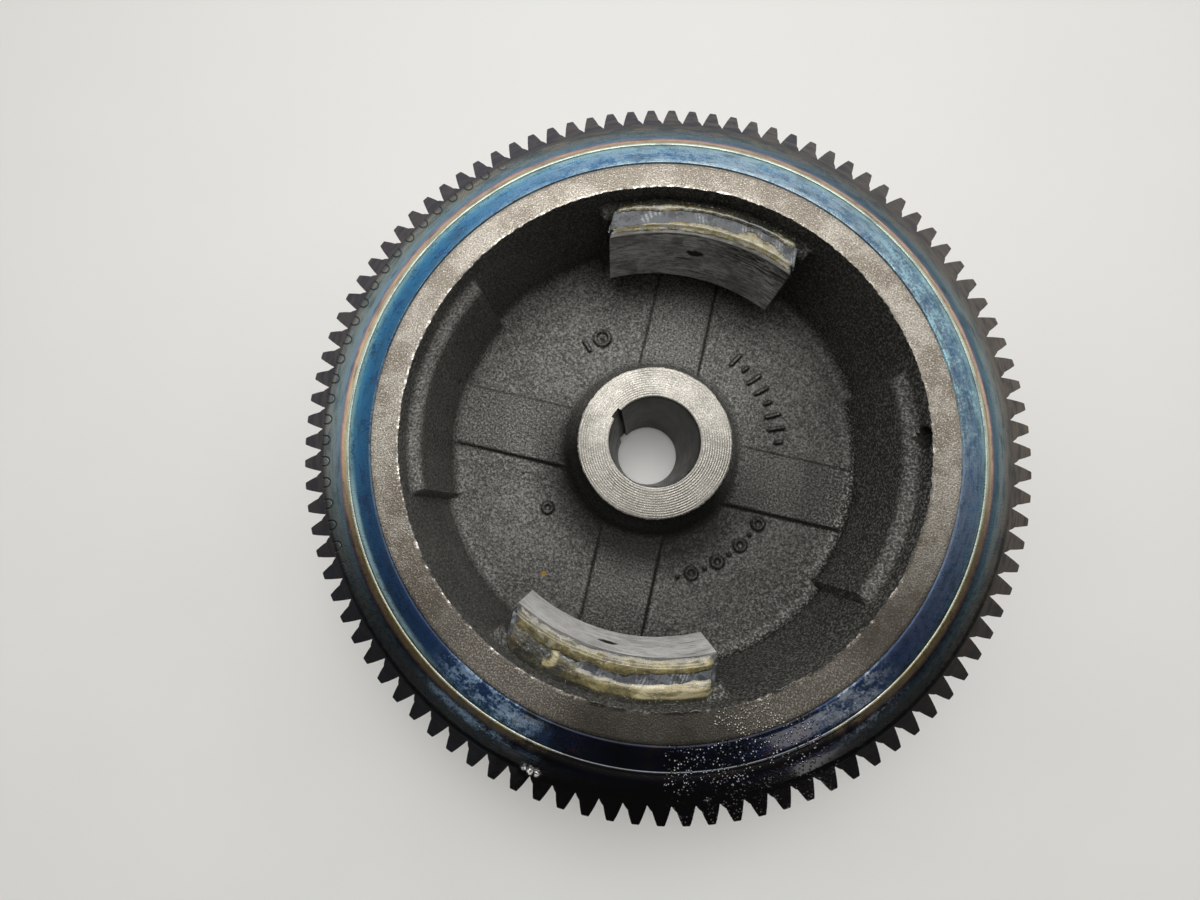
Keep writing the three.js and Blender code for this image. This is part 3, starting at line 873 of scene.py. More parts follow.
CASTING_CORNERS = (
    (BORE_END_R, 0.0, 0.4, "bored_iron", "turned_iron", 1.6),
    (BOSS_R, 0.0, 0.8, "turned_iron", "sand_cast", 1.0),
    (BOSS_R + 2.5, 8.0, 2.5, "sand_cast", "sand_cast", 1.0),
    (BOSS_R + 6.0, WEB_BACK_Z, 2.5, "sand_cast", "sand_cast", 1.3),
    (FAN_FACE_IN_R - 4.0, WEB_BACK_Z, 2.5, "sand_cast", "sand_cast", 1.2),
    (FAN_FACE_IN_R, FAN_FACE_Z, 0.5, "sand_cast", "turned_iron", 1.6),
    (RIM_OUT_R - 2.0, FAN_FACE_Z, 0.3, "turned_iron", "turned_iron", 1.4),
    (RIM_OUT_R, FAN_FACE_Z + 2.0, 0.3, "skimmed_iron", "skimmed_iron", 1.8),
    (RIM_OUT_R, SHOULDER_Z, 1.0, "skimmed_iron", "skimmed_iron", 2.0),
    (RING_SEAT_R, SHOULDER_Z, 0.2, "skimmed_iron", "skimmed_iron", 3.0),
    (RING_SEAT_R, RIM_Z, 0.25, "faced_iron", "faced_iron", 1.1),
    (CUP_R, RIM_Z, 0.15, "sand_cast", "sand_cast", 0.6),
    (CUP_R - 0.4, WEB_Z, 4.0, "sand_cast", "sand_cast", 0.6),
    (HUB_R + 6.8, WEB_Z, 5.0, "sand_cast", "sand_cast", 0.6),
    (HUB_R + 3.8, WEB_Z + 5.6, 2.4, "sand_cast", "sand_cast", 0.6),
    (HUB_R, WEB_Z + 10.0, 2.6, "sand_cast", "sand_cast", 0.7),
    (HUB_R, HUB_Z, 0.25, "turned_iron", "turned_iron", 1.0),
    (BORE_R, HUB_Z, 0.35, "turned_iron", "bored_iron", 2.2),
)


# ---------------------------------------------------------------- casting

COLUMNS = 720


def seat_weight(theta, radius):
    """1 on the four magnet seats, 0 between them, with a short blend at their ends."""
    from_seat = np.abs(angle_from(theta * 4, 0) / 4)
    beyond = np.radians(from_seat - SEAT_HALF_ANGLE) * radius
    return 1 - smooth(-0.7, 0.7, beyond)


def seat_share(r, z):
    """How much of the seat's depth a row of the cup takes: none above the ledge, all on the
    wall below it, and fading out along the cup floor."""
    on_wall = 1 - smooth(SEAT_LIP_Z, SEAT_WALL_Z, z)
    on_floor = smooth(SEAT_FLOOR_R, CUP_R - 4.0, r)
    return np.where(z > WEB_Z + 0.01, on_wall, on_floor) * (r > SEAT_FLOOR_R)


def wall_pits(theta, z):
    """Depth of the two sand holes in the cup wall."""
    depth = 0 * theta
    for degrees, height, size, deep in WALL_PITS:
        along_wall = np.radians(angle_from(theta, degrees)) * CUP_R
        depth = depth + deep * (1 - smooth(0.55 * size, size, np.hypot(along_wall, z - height)))
    return depth * (1 - smooth(RIM_Z - 1.2, RIM_Z - 0.2, z))


def band_height(x, y):
    """Raised cross on the cup floor."""
    edge = 0.7
    along_y = 1 - smooth(BAND_HALF - edge, BAND_HALF + edge, np.abs(x))
    along_x = 1 - smooth(BAND_HALF - edge, BAND_HALF + edge, np.abs(y - CROSS_BAND_SHIFT))
    clear_of_hub = smooth(HUB_R + 5.0, HUB_R + 9.0, np.hypot(x, y))
    return BAND_RISE * np.maximum(along_x, along_y) * clear_of_hub


def foundry_marks(r, theta):
    """Plain raised marks on the cup floor: short bars, dots and rings along an arc."""
    rise, soft = 1.0, 0.35
    height = np.zeros_like(r * theta)

    def raise_to(distance, half_width):
        nonlocal height
        beyond = smooth(half_width - soft, half_width + soft, distance)
        height = np.maximum(height, rise * (1 - beyond))

    def spot(middle_r, middle_theta):
        along = np.radians(angle_from(theta, middle_theta)) * middle_r
        return np.hypot(along, r - middle_r)

    def pill(middle_r, middle_theta, half_length, half_width):
        sideways = np.radians(angle_from(theta, middle_theta)) * middle_r
        past_end = np.maximum(np.abs(r - middle_r) - half_length, 0)
        raise_to(np.hypot(sideways, past_end), half_width)

    for k in range(8):
        pill(50.5, 16.0 + 6.2 * k, 2.6 if k % 3 else 1.0, 0.75)
    for k in range(9):
        raise_to(np.abs(spot(50.5, -66.0 + 6.2 * k) - (1.9 if k % 2 else 0.0)), 0.7)
    raise_to(np.abs(spot(50.0, 126.0) - 3.0), 0.7)
    raise_to(spot(50.0, 126.0), 0.8)
    pill(50.0, 134.0, 2.2, 0.75)
    raise_to(np.abs(spot(47.0, 223.0) - 1.8), 0.7)
    return height


def floor_relief(x, y):
    """Height of the cross and the marks above the cup floor."""
    theta = np.degrees(np.arctan2(y, x))
    return np.maximum(band_height(x, y), foundry_marks(np.hypot(x, y), theta))


def key_columns(theta, radius, mixed):
    """Angles and radii of a row near the key slot. Within KEY_CROWDING degrees of it the
    columns crowd onto the slot's corners.
    mixed is 1 on the bore itself and falls to 0 away from it."""
    floor_r = radius + KEY_DEPTH
    mouth = math.degrees(math.asin(KEY_HALF / radius))
    corner = math.degrees(math.atan(KEY_HALF / floor_r))
    away = angle_from(theta, KEY_ANGLE)
    size = np.abs(away)
    moved = np.interp(size, (0, 6.5, 7.0, KEY_CROWDING), (0, corner, mouth, KEY_CROWDING))
    moved = np.where(size < KEY_CROWDING, moved, size)
    new_theta = KEY_ANGLE + np.sign(away) * (size + (moved - size) * mixed)
    in_slot = size < 6.75
    slot_r = floor_r / np.cos(np.radians(np.minimum(moved, corner)))
    return new_theta, np.where(in_slot, slot_r, radius)


def key_slot(r, z, theta):
    """The bore's rows with the key slot cut in, and the faces round it drawn along."""
    bore_at_height = BORE_END_R + (BORE_R - BORE_END_R) * z / HUB_Z
    for i in range(len(r)):
        near_axis = r[i, 0] < bore_at_height[i, 0] + 9.0 and r[i, 0] < BOSS_R
        if not near_axis:
            continue
        out = max(r[i, 0] - bore_at_height[i, 0], 0.0)
        mixed = float(1 - smooth(0.3, 7.0, out))
        bore_r = float(bore_at_height[i, 0])
        new_theta, slot_r = key_columns(theta[i], bore_r, mixed)
        theta[i] = new_theta
        r[i] = r[i] + np.maximum(slot_r - bore_r - out, 0.0)
    return r, theta


def surface_normals(points):
    """Normals of a grid that closes both ways."""
    along = np.roll(points, -1, 1) - np.roll(points, 1, 1)
    across = np.roll(points, -1, 0) - np.roll(points, 1, 0)
    normal = np.cross(along, across)
    return normal / np.maximum(np.linalg.norm(normal, axis=-1, keepdims=True), 1e-9)


def cast_roughness(points):
    """Height of the moulding-sand texture."""
    skin = 0.075 * noise(points, 1.3, 3) + 0.06 * noise(points, 3.2, 4)
    return skin + 0.14 * noise(points, 12.0, 5)


def edge_wander(theta, radius):
    """A rough cast wall breaks the machined face beside it along an uneven line."""
    around = np.stack([np.cos(np.radians(theta)), np.sin(np.radians(theta)), 0 * theta], -1) * radius
    return 0.26 * noise(around, 0.9, 11) + 0.10 * noise(around, 3.0, 12)


def painted_shade_share(points):
    """Painted shade on the cast skin: darker in the corners of the cup, against the raised edges
    and on the side of the hub that faces -Y, where its shadow falls."""
    x, y, z = points.T
    r = np.maximum(np.hypot(x, y), 1e-6)
    theta = np.degrees(np.arctan2(y, x))

    def along(degrees):
        """Direction in the layout."""
        a = math.radians(degrees + LAYOUT_TURN)
        return math.cos(a), math.sin(a)

    def facing(degrees):
        dx, dy = along(degrees)
        return (x * dx + y * dy) / r

    def slope(degrees):
        """Slope of the floor's relief."""
        reach = 0.6
        dx, dy = along(degrees)
        ahead = floor_relief(x + dx * reach, y + dy * reach)
        return (ahead - floor_relief(x - dx * reach, y - dy * reach)) / (2 * reach)

    # Painted shadow along the raised cross and marks, darkest on edges that face away from the light.
    rise, sideways = slope(90), slope(0)
    edges = 0.75 * np.maximum(rise, 0) + 0.38 * np.abs(sideways) + 0.20 * np.maximum(-rise, 0)
    on_floor = (z < WEB_Z + 2.0) & (z > WEB_Z - 1.0)
    # Painted shade across the cup floor, darkest towards the lower right.
    web = 0.05 + 0.46 * smooth(-0.6, 1.0, facing(-50)) + 0.10 * smooth(0.2, 1.0, facing(200))
    web = web * smooth(30, 50, r) * (1 - smooth(WEB_Z + 2.0, WEB_Z + 6.0, z))
    # Painted shadow of the hub, deepest on its side towards the bottom.
    hub_shadow = (1 - smooth(32, 54, r)) * (0.08 + 0.95 * smooth(-0.6, 0.8, facing(250)))
    # Painted shade on the cup wall, lifted as painted light on the ledges of the bare seats.
    wall = smooth(WEB_Z - 0.5, WEB_Z + 5.5, z) * (r > 60) * (0.50 + 0.22 * facing(-25))
    ledge = 1 - smooth(0.0, 4.4, np.abs(z - (SEAT_LIP_Z + SEAT_WALL_Z) / 2))
    bare_seat = seat_weight(theta, CUP_R) * (np.abs(x) > np.abs(y))
    wall = wall * (1 - (0.58 + 0.32 * facing(160)) * ledge * bare_seat)
    # Painted shade on the hub's flare and in the wall's pits.
    flare = 0.12 * smooth(WEB_Z + 2.0, WEB_Z + 8.0, z) * (r < 40)
    pits = 0.93 * np.clip(1.5 * wall_pits(theta, z), 0, 1) * (r > 70)
    inside = (z > WEB_Z - 1.0) & (r < CUP_R + 3.0)
    total = np.where(on_floor, edges, 0) + web + hub_shadow + wall + flare + pits
    return np.where(inside, np.clip(total, 0, 0.93), 0.0)


def keep_values(piece, name, values):
    """Keeps a value on every point of a mesh, for its material."""
    kept = piece.data.attributes.new(name, "FLOAT", "POINT")
    kept.data.foreach_set("value", values.astype(np.float32))


def keep_painted_shade(body):
    points = np.empty(len(body.data.vertices) * 3, np.float32)
    body.data.vertices.foreach_get("co", points)
    keep_values(body, "painted_shade", painted_shade_share(points.reshape(-1, 3).astype(float) / MM))


def casting():
    """Grid turned from the profile, with the seats, floor relief, pits, key slot and sand
    texture worked into it."""
    row_r, row_z, zones = rounded_path(CASTING_CORNERS)
    rows = len(row_r)
    theta = np.tile(KEY_ANGLE + np.arange(COLUMNS) * 360 / COLUMNS, (rows, 1))
    r = np.repeat(row_r[:, None], COLUMNS, 1)
    z = np.repeat(row_z[:, None], COLUMNS, 1)
    zones = np.array(zones)
    inside = (zones == "sand_cast") & (row_z > WEB_Z - 0.5) & (row_r > HUB_R - 1)
    cast = (zones == "sand_cast")[:, None]

    share = np.where(inside, seat_share(row_r, row_z), 0.0)[:, None]
    r = r - SEAT_DEPTH * share * seat_weight(theta, CUP_R)

    x, y = r * np.cos(np.radians(theta)), r * np.sin(np.radians(theta))
    on_floor = np.where(inside, 1 - smooth(0.2, 5.5, row_z - WEB_Z), 0.0)[:, None]
    z = z + on_floor * floor_relief(x, y)
    on_wall = (inside & (row_r > 70.0))[:, None]
    r = r + on_wall * wall_pits(theta, z)

    r, theta = key_slot(r, z, theta)
    x, y = r * np.cos(np.radians(theta)), r * np.sin(np.radians(theta))
    points = np.stack([x, y, z], -1)

    # Sand texture along the normal, everywhere on cast rows except their first and last.
    inner_row = cast & np.roll(cast, 1, 0) & np.roll(cast, -1, 0)
    points = points + surface_normals(points) * (cast_roughness(points) * inner_row)[..., None]

    outwards = np.stack([np.cos(np.radians(theta)), np.sin(np.radians(theta)), 0 * theta], -1)
    for edge_r, edge_z, share in ((CUP_R, RIM_Z, 1.0), (HUB_R, HUB_Z, 0.6)):
        from_edge = np.hypot(row_r - edge_r, row_z - edge_z)
        near_edge = (share * (1 - smooth(0.3, 1.5, from_edge)))[:, None]
        points = points + outwards * (near_edge * edge_wander(theta, edge_r))[..., None]

    used = sorted(set(zones))
    indices = np.repeat([used.index(zone) for zone in zones], COLUMNS)
    materials = [MATERIALS[zone] for zone in used]
    body = make_object("casting", points, ring_faces(rows, COLUMNS), materials, indices)
    finish_piece(body, "cast_iron", "flywheel_casting")
    return body


# ---------------------------------------------------------------- ring gear

TOOTH_TIP_R = GEAR_MODULE * (TEETH / 2 + 1)
TOOTH_ROOT_R = 107.9
TOOTH_OUTLINE = (
    # share of the pitch from the tooth's middle, depth below the tip: a straight flank on
    # one side, and on the other a flank that ends in the step left by the cutter
    (-0.564, 5.10), (-0.540, 4.98), (-0.490, 4.52), (-0.430, 4.05), (-0.385, 3.80), (-0.352, 3.62),
    (-0.335, 3.30), (-0.300, 2.60), (-0.255, 1.75), (-0.205, 0.95), (-0.165, 0.28), (-0.145, 0.07),
    (-0.115, 0.0), (0.0, 0.0), (0.115, 0.0), (0.145, 0.07), (0.165, 0.28), (0.205, 0.95),
    (0.255, 1.75), (0.300, 2.60), (0.340, 3.35), (0.378, 4.10), (0.408, 4.75), (0.422, 5.02),
)
GEAR_TOP = (
    # radius, height above the toothed face, from the teeth inwards
    (TOOTH_ROOT_R, -TEETH_DROP), (107.5, -0.20), (107.1, 0.0), (106.3, 0.0), (105.4, 0.0), (104.4, 0.0),
    (103.4, 0.0), (102.6, 0.02), (102.0, 0.07), (101.5, 0.18), (101.0, 0.38), (100.5, 0.66),
    (100.0, 0.96), (99.7, 1.14), (99.45, 1.28), (99.2, 1.35), (98.95, 1.35), (98.75, 1.30),
    (98.6, 1.22), (98.45, 1.29), (98.25, 1.38), (98.0, 1.40), (96.5, 1.40), (95.0, 1.40),
    (93.6, 1.40), (92.5, 1.40), (92.15, 1.34), (GEAR_BORE_R, 1.05),
)


def ring_gear():
    """Closed profile of rows, each with a point for every point of the teeth's outline."""
    theta, edge = [], []
    for tooth in range(TEETH):
        theta += [FIRST_TOOTH + (tooth + share) * 360 / TEETH for share, _ in TOOTH_OUTLINE]
        edge += [TOOTH_TIP_R - depth for _, depth in TOOTH_OUTLINE]
    theta, edge = np.radians(theta), np.array(edge)
    low, top = GEAR_LOW_Z, GEAR_FACE_Z - TEETH_DROP
    rows = [(GEAR_BORE_R, low + 0.3), (GEAR_BORE_R + 0.4, low)]
    rows += [(radius, low) for radius in (96.0, 100.0, 104.0, TOOTH_ROOT_R)]
    rows += [(edge - 0.5, low), (edge, low + 0.5), (edge, low + (top - low) / 2), (edge, top - 0.35)]
    rows += [(edge - 0.30, top)]
    tinted_from = len(rows) - 2
    rows += [(radius, GEAR_FACE_Z + rise) for radius, rise in GEAR_TOP]
    radii = np.array([radius + 0 * edge for radius, _ in rows])
    heights = np.array([height + 0 * edge for _, height in rows])
    points = np.stack([radii * np.cos(theta), radii * np.sin(theta), heights], -1)
    cut_rows = [row < tinted_from or row == len(rows) - 1 for row in range(len(rows))]
    materials = [MATERIALS["tempered_steel"], MATERIALS["tooth_steel"]]
    faces = ring_faces(len(rows), len(edge))
    gear = make_object("ring_gear", points, faces, materials, np.repeat(cut_rows, len(edge)), sharp=28)
    finish_piece(gear, "tempered_steel", "starter_ring_gear")


# ---------------------------------------------------------------- charging magnets

def arc_bar(section, half_width, material, seed, chips):
    """Bar that follows the cup's curve on +Y and ends square, from an (r, z) loop."""
    steps = 64
    r, z = np.array(section, float).T
    x = np.linspace(-half_width, half_width, steps + 1)[:, None]
    y = np.sqrt(r[None, :] ** 2 - x ** 2)
    points = np.stack([x + 0 * y, y, z[None, :] + 0 * y], -1)
    wear = chips * noise(points, 2.5, seed) + chips * noise(points, 7.0, seed + 1)
    points[..., 2] += wear * smooth(0, 1, (points[..., 2] - z.min()) / 6)
    return make_object("bar", points, bar_faces(steps + 1, len(r)), [MATERIALS[material]], sharp=40)


def side_points(start, stop, count):
    """count points from start towards stop, without stop."""
    start, stop = np.array(start, float), np.array(stop, float)
    return [tuple(start + (stop - start) * k / count) for k in range(count)]


def box_section(in_r, out_r, low, high, along, up):
    """Rectangular loop, counter-clockwise seen along +X, with points along its sides."""
    loop = side_points((in_r, low), (in_r, high), up)
    loop += side_points((in_r, high), (out_r, high), along)
    loop += side_points((out_r, high), (out_r, low), up)
    loop += side_points((out_r, low), (in_r, low), along)
    return loop


def turned(piece, name, degrees):
    """Turns a piece about the crankshaft axis, in its mesh, and names it."""
    piece.data.transform(Matrix.Rotation(math.radians(degrees), 4, "Z"))
    piece.name = name
    piece.data.name = name
    return piece


def charge_magnet(place, degrees, seed):
    section = box_section(MAGNET_IN_R, MAGNET_OUT_R, MAGNET_LOW_Z, MAGNET_TOP_Z, 6, 12)
    magnet = arc_bar(section, MAGNET_HALF, "ferrite", seed, 0.12)
    soften(magnet, 0.5, 3)
    turned(magnet, f"magnet_{place}", degrees)
    finish_piece(magnet, "ferrite", f"charge_magnet_{place}")


def pole_plate(place, degrees, seed):
    section = box_section(PLATE_IN_R, PLATE_OUT_R, MAGNET_LOW_Z, PLATE_TOP_Z, 3, 14)
    plate = arc_bar(section, PLATE_HALF, "plate_steel", seed, 0.08)
    soften(plate, 0.40, 3)
    turned(plate, f"plate_{place}", degrees)
    finish_piece(plate, "plate_steel", f"pole_plate_{place}")


def sheet_of_glue(half_width, in_r, out_r, top, bottom, depth):
    """Closed sheet over a grid of places along X and radii, between two height fields, with
    its depth, 0 to 1, kept on the points for the material."""
    xs, rs = np.linspace(-half_width, half_width, 130), np.linspace(in_r, out_r, 32)
    x, r = np.meshgrid(xs, rs, indexing="ij")
    y = np.sqrt(r ** 2 - x ** 2)
    upper = np.stack([x, y, top(x, r)], -1)
    lower = np.stack([x, y, bottom + 0 * x], -1)
    index = np.arange(x.size).reshape(x.shape)
    under = index + x.size

    def quads(*corners):
        return np.stack(corners, -1).reshape(-1, 4).tolist()

    faces = quads(index[:-1, 1:], index[1:, 1:], index[1:, :-1], index[:-1, :-1])
    faces += quads(under[:-1, :-1], under[1:, :-1], under[1:, 1:], under[:-1, 1:])
    sides = index[:, 0], index[-1, 1:], index[-2::-1, -1], index[0, -2:0:-1]
    rim = np.concatenate(sides)
    after = np.roll(rim, -1)
    faces += quads(rim, after, after + x.size, rim + x.size)
    points = np.concatenate([upper.reshape(-1, 3), lower.reshape(-1, 3)])
    sheet = make_object("glue", points, faces, [MATERIALS["adhesive"]], sharp=60)
    shares = np.clip(depth(x, r), 0, 1).reshape(-1)
    keep_values(sheet, "depth", np.concatenate([shares, shares]))
    return sheet


def from_stops(x, stops):
    """Value at x from (x, value) stops."""
    return np.interp(x, *np.transpose(stops))


def glue_noise(x, r, cell, seed):
    return noise(np.stack([x, r, 0 * x + seed * 40.0], -1), cell, seed)


def lobes(x, cell, seed):
    """Noise that changes along the magnet's width only."""
    return glue_noise(x, 0 * x, cell, seed)


# For each magnet, how far the epoxy reaches over the magnet's top from the joint with the
# plate, and how far in from the outer edge, in millimetres along the magnet's width.
PLATE_GLUE_REACH = {
    "upper": (
        (-32, 0.5), (-20, 0.8), (-8, 1.4), (2, 2.4), (10, 2.2), (17, 4.2), (23, 3.4), (29, 1.8),
        (32, 1.4),
    ),
    "lower": ((-32, 1.6), (-24, 2.2), (-10, 3.0), (4, 2.8), (14, 3.4), (24, 3.9), (32, 3.6)),
}
SEAT_GLUE_REACH = {
    "upper": (
        (-32, 1.3), (-26, 0.8), (-16, 1.7), (-6, 1.2), (4, 1.4), (16, 1.2), (24, 1.6), (32, 2.2),
    ),
    "lower": (
        (-32, 3.0), (-24, 2.8), (-10, 2.0), (2, 1.9), (10, 2.8), (18, 4.6), (27, 4.8), (32, 4.4),
    ),
}
# How thick the epoxy looks along the magnet's width, from 0 to 1.
PLATE_GLUE_DEPTH = {
    "upper": ((-32, 0.62), (-10, 0.55), (32, 0.50)),
    "lower": ((-32, 0.36), (-5, 0.30), (12, 0.22), (22, 0.14), (32, 0.24)),
}
SEAT_GLUE_DEPTH = {
    "upper": (
        (-32, 0.35), (-22, 0.66), (-8, 0.62), (2, 0.26), (16, 0.12), (24, 0.40), (32, 0.50),
    ),
    "lower": (
        (-32, 1.20), (-16, 1.10), (-6, 0.74), (6, 0.62), (13, 0.34), (20, 0.10), (27, 0.08),
        (32, 0.30),
    ),
}
# How far it laps over the plate, and how far it stays thick beyond the magnet.
PLATE_GLUE_LIP = {"upper": 1.2, "lower": 2.1}
SEAT_GLUE_SPILL = {"upper": 0.1, "lower": 1.7}
PLATE_JOINT_R = 72.0
GLUE_RISE = 0.55
GLUE_LEAST_REACH = 0.3
# A curl of thick epoxy on the lower magnet.
GLUE_CURL_X = 19.0
GLUE_CURL_R = 76.4
GLUE_CURL_SIZE = 2.9


def plate_glue(place, degrees, seed):
    """Squeezed-out epoxy over the joint between pole plate and magnet, in uneven lobes."""

    def bead(x, r):
        reach = from_stops(x, PLATE_GLUE_REACH[place]) * (1 + 0.25 * lobes(x, 5.0, seed))
        reach = np.maximum(reach + 0.25 * lobes(x, 2.0, seed + 3), GLUE_LEAST_REACH)
        lip = PLATE_GLUE_LIP[place] + 0.35 * lobes(x, 3.0, seed + 1)
        over = r - PLATE_JOINT_R
        across = np.where(over < 0, -over / lip, over / reach)
        return (1 - across ** 2) * smooth(0, 2.0, PLATE_HALF - 0.4 - np.abs(x))

    def top(x, r):
        on_magnet = smooth(PLATE_JOINT_R - 0.5, PLATE_JOINT_R + 0.3, r)
        metal = PLATE_TOP_Z + (MAGNET_TOP_Z - PLATE_TOP_Z) * on_magnet
        rise = GLUE_RISE * bead(x, r) + 0.10 * glue_noise(x, r, 1.6, seed + 4)
        return np.maximum(metal + rise, np.minimum(metal, PLATE_TOP_Z) - 0.3)

    def depth(x, r):
        swell = bead(x, r)
        thick = from_stops(x, PLATE_GLUE_DEPTH[place]) * np.clip(swell * 3, 0, 1)
        return thick + 0.22 * np.clip(swell, 0, 1)

    glue = sheet_of_glue(PLATE_HALF - 0.5, 69.75, 77.2, top, PLATE_TOP_Z - 0.7, depth)
    turned(glue, f"plate_glue_{place}", degrees)
    finish_piece(glue, "adhesive", f"plate_adhesive_{place}")


def seat_glue(place, degrees, seed):
    """Epoxy run along the magnet's outer edge, over the seat's ledge and up to the wall."""
    floor_drop = 3.2

    def over_magnet(x, r):
        reach = from_stops(x, SEAT_GLUE_REACH[place]) * (1 + 0.25 * lobes(x, 6.0, seed))
        reach = np.maximum(reach + 0.3 * lobes(x, 2.4, seed + 5), GLUE_LEAST_REACH)
        return 1 - ((MAGNET_OUT_R - r) / reach) ** 2

    def top(x, r):
        sunk = 1.3 + 0.8 * lobes(x, 8.0, seed + 1)
        fall = sunk * np.clip((r - MAGNET_OUT_R) / (CUP_R - 0.2 - MAGNET_OUT_R), 0, 1)
        rise = np.where(r < MAGNET_OUT_R, GLUE_RISE * over_magnet(x, r), GLUE_RISE - fall)
        rise = rise + 0.16 * glue_noise(x, r, 1.7, seed + 2)
        rise = rise + 0.14 * glue_noise(x, r, 4.5, seed + 3)
        ends = smooth(0.0, 2.0, MAGNET_HALF + 0.6 - np.abs(x))
        return MAGNET_TOP_Z - floor_drop + np.maximum((rise + floor_drop) * ends, 0.0)

    def depth(x, r):
        inner = np.clip(over_magnet(x, r) * 2.5, 0, 1)
        outer = 1 - 0.95 * smooth(0, 1.0, r - MAGNET_OUT_R - SEAT_GLUE_SPILL[place])
        thick = from_stops(x, SEAT_GLUE_DEPTH[place]) * (0.78 + 0.45 * lobes(x, 6.0, seed + 7))
        thick = thick * np.where(r < MAGNET_OUT_R, inner, outer)
        from_curl = np.abs(np.hypot(x - GLUE_CURL_X, r - GLUE_CURL_R) - GLUE_CURL_SIZE)
        curl = (1 - smooth(0.3, 1.5, from_curl)) * (x - GLUE_CURL_X < 0.8)
        return thick + 0.75 * curl * (place == "lower")

    bottom = MAGNET_TOP_Z - 3.6
    glue = sheet_of_glue(MAGNET_HALF + 0.6, 73.4, CUP_R - 0.15, top, bottom, depth)
    turned(glue, f"seat_glue_{place}", degrees)
    finish_piece(glue, "adhesive", f"seat_adhesive_{place}")


# ---------------------------------------------------------------- ignition magnet group

def rim_block(name, in_r, out_r, from_y, to_y, material, edge):
    """Block on +X whose outside follows the rim, between two sideways limits, with its
    edges rounded."""
    y = np.linspace(from_y, to_y, 17)
    face = np.stack([np.sqrt(out_r ** 2 - y ** 2), y], -1)
    back = np.stack([np.full_like(y, in_r), y], -1)[::-1]
    loop = np.concatenate([face, back])
    heights = np.linspace(IGNITION_Z - SHOE_HALF_TALL, IGNITION_Z + SHOE_HALF_TALL, 9)
    points = [[(px, py, height) for px, py in loop] for height in heights]
    faces = bar_faces(len(heights), len(loop))
    made = make_object(name, points, faces, [MATERIALS[material]], sharp=40)
    return soften(made, edge, 2, 40)


def round_bar(name, rings, y, sides=48, materials=()):
    """Round solid about a line along X through the ignition group, from (x, radius) rings."""
    t = np.linspace(0, 2 * math.pi, sides, endpoint=False)
    rows = [
        np.stack([x + 0 * t, y + radius * np.cos(t), IGNITION_Z + radius * np.sin(t)], -1)
        for x, radius in rings
    ]
    return make_object(name, np.array(rows), bar_faces(len(rings), sides), materials, sharp=50)


SCREW_HEAD_X = math.sqrt(SHOE_OUT_R ** 2 - SHOE_MIDDLE ** 2) - 1.1


def pole_shoe(place, side):
    """Block with a countersunk screw hole."""
    head, middle, half = SCREW_HEAD_X, side * SHOE_MIDDLE, SHOE_WIDTH / 2
    limits = middle - half, middle + half
    shoe = rim_block("shoe", POCKET_FLOOR_R + GAP, SHOE_OUT_R, *limits, "shoe_steel", 0.4)
    hole = (POCKET_FLOOR_R - 1, SCREW_HOLE_R), (SHOE_OUT_R + 2, SCREW_HOLE_R)
    cut(shoe, round_bar("drill", hole, middle))
    cut(shoe, round_bar("drill", ((head - 3.9, 0.1), (head + 3.0, 7.0)), middle))
    turned(shoe, f"pole_shoe_{place}", IGNITION_ANGLE)
    finish_piece(shoe, "shoe_steel", f"ignition_pole_shoe_{place}")


def shoe_screw(place, side):
    """Countersunk screw with a hexagon socket, turned about a line along X."""
    head, middle = SCREW_HEAD_X, side * SHOE_MIDDLE
    rings = (
        (SCREW_END_R, 0.6), (SCREW_END_R + 0.6, 1.5), (SCREW_END_R + 1.0, 2.0),
        (head - 2.2, 2.0), (head - 1.9, 2.1), (head - 0.5, 3.5), (head - 0.25, 3.6), (head, 3.45),
    )
    screw = round_bar("screw", rings, middle, materials=[MATERIALS["screw_steel"]])
    cut(screw, round_bar("socket", ((head - 1.8, 1.3), (head + 1.0, 1.3)), middle, 6))
    turned(screw, f"shoe_screw_{place}", IGNITION_ANGLE)
    finish_piece(screw, "screw_steel", f"ignition_shoe_screw_{place}")


def ignition_block():
    """Magnet between the two shoes, and the resin over it."""
    half = SHOE_MIDDLE - SHOE_WIDTH / 2 - GAP
    floor_r, out_r = POCKET_FLOOR_R + GAP, IGNITION_MAGNET_OUT_R
    for name, radii, material, edge, node in (
        ("ignition_block", (floor_r, out_r), "ferrite", 0.4, "ignition_magnet"),
        ("ignition_resin", (out_r + GAP, RIM_OUT_R - 0.25), "potting", 0.6, "ignition_potting"),
    ):
        block = rim_block(name, *radii, -half, half, material, edge)
        turned(block, name, IGNITION_ANGLE)
        finish_piece(block, material, node)


# ---------------------------------------------------------------- cuts in the casting

def upright(circle_r, degrees, radius, depth, tip):
    """Cutter for a blind hole up from the fan face, with a drill-point cone above it."""
    a = math.radians(degrees)
    sides = 40
    t = np.linspace(0, 2 * math.pi, sides, endpoint=False)
    top = FAN_FACE_Z + depth
    x, y = circle_r * math.cos(a), circle_r * math.sin(a)
    rows = [
        np.stack([x + r * np.cos(t), y + r * np.sin(t), z + 0 * t], -1)
        for z, r in ((-1.0, radius), (top, radius), (top + tip, 0.1))
    ]
    return make_object("drill", np.array(rows), bar_faces(len(rows), sides), [])


def pocket_cutter():
    near, far = POCKET_FLOOR_R, RIM_OUT_R + 5
    corners = [(near, -POCKET_HALF), (far, -POCKET_HALF), (far, POCKET_HALF), (near, POCKET_HALF)]
    rows = [
        [(x, y, z) for x, y in corners]
        for z in (IGNITION_Z - POCKET_HALF_TALL, IGNITION_Z + POCKET_HALF_TALL)
    ]
    cutter = make_object("pocket", np.array(rows), bar_faces(2, 4), [])
    return turned(cutter, "pocket", IGNITION_ANGLE)


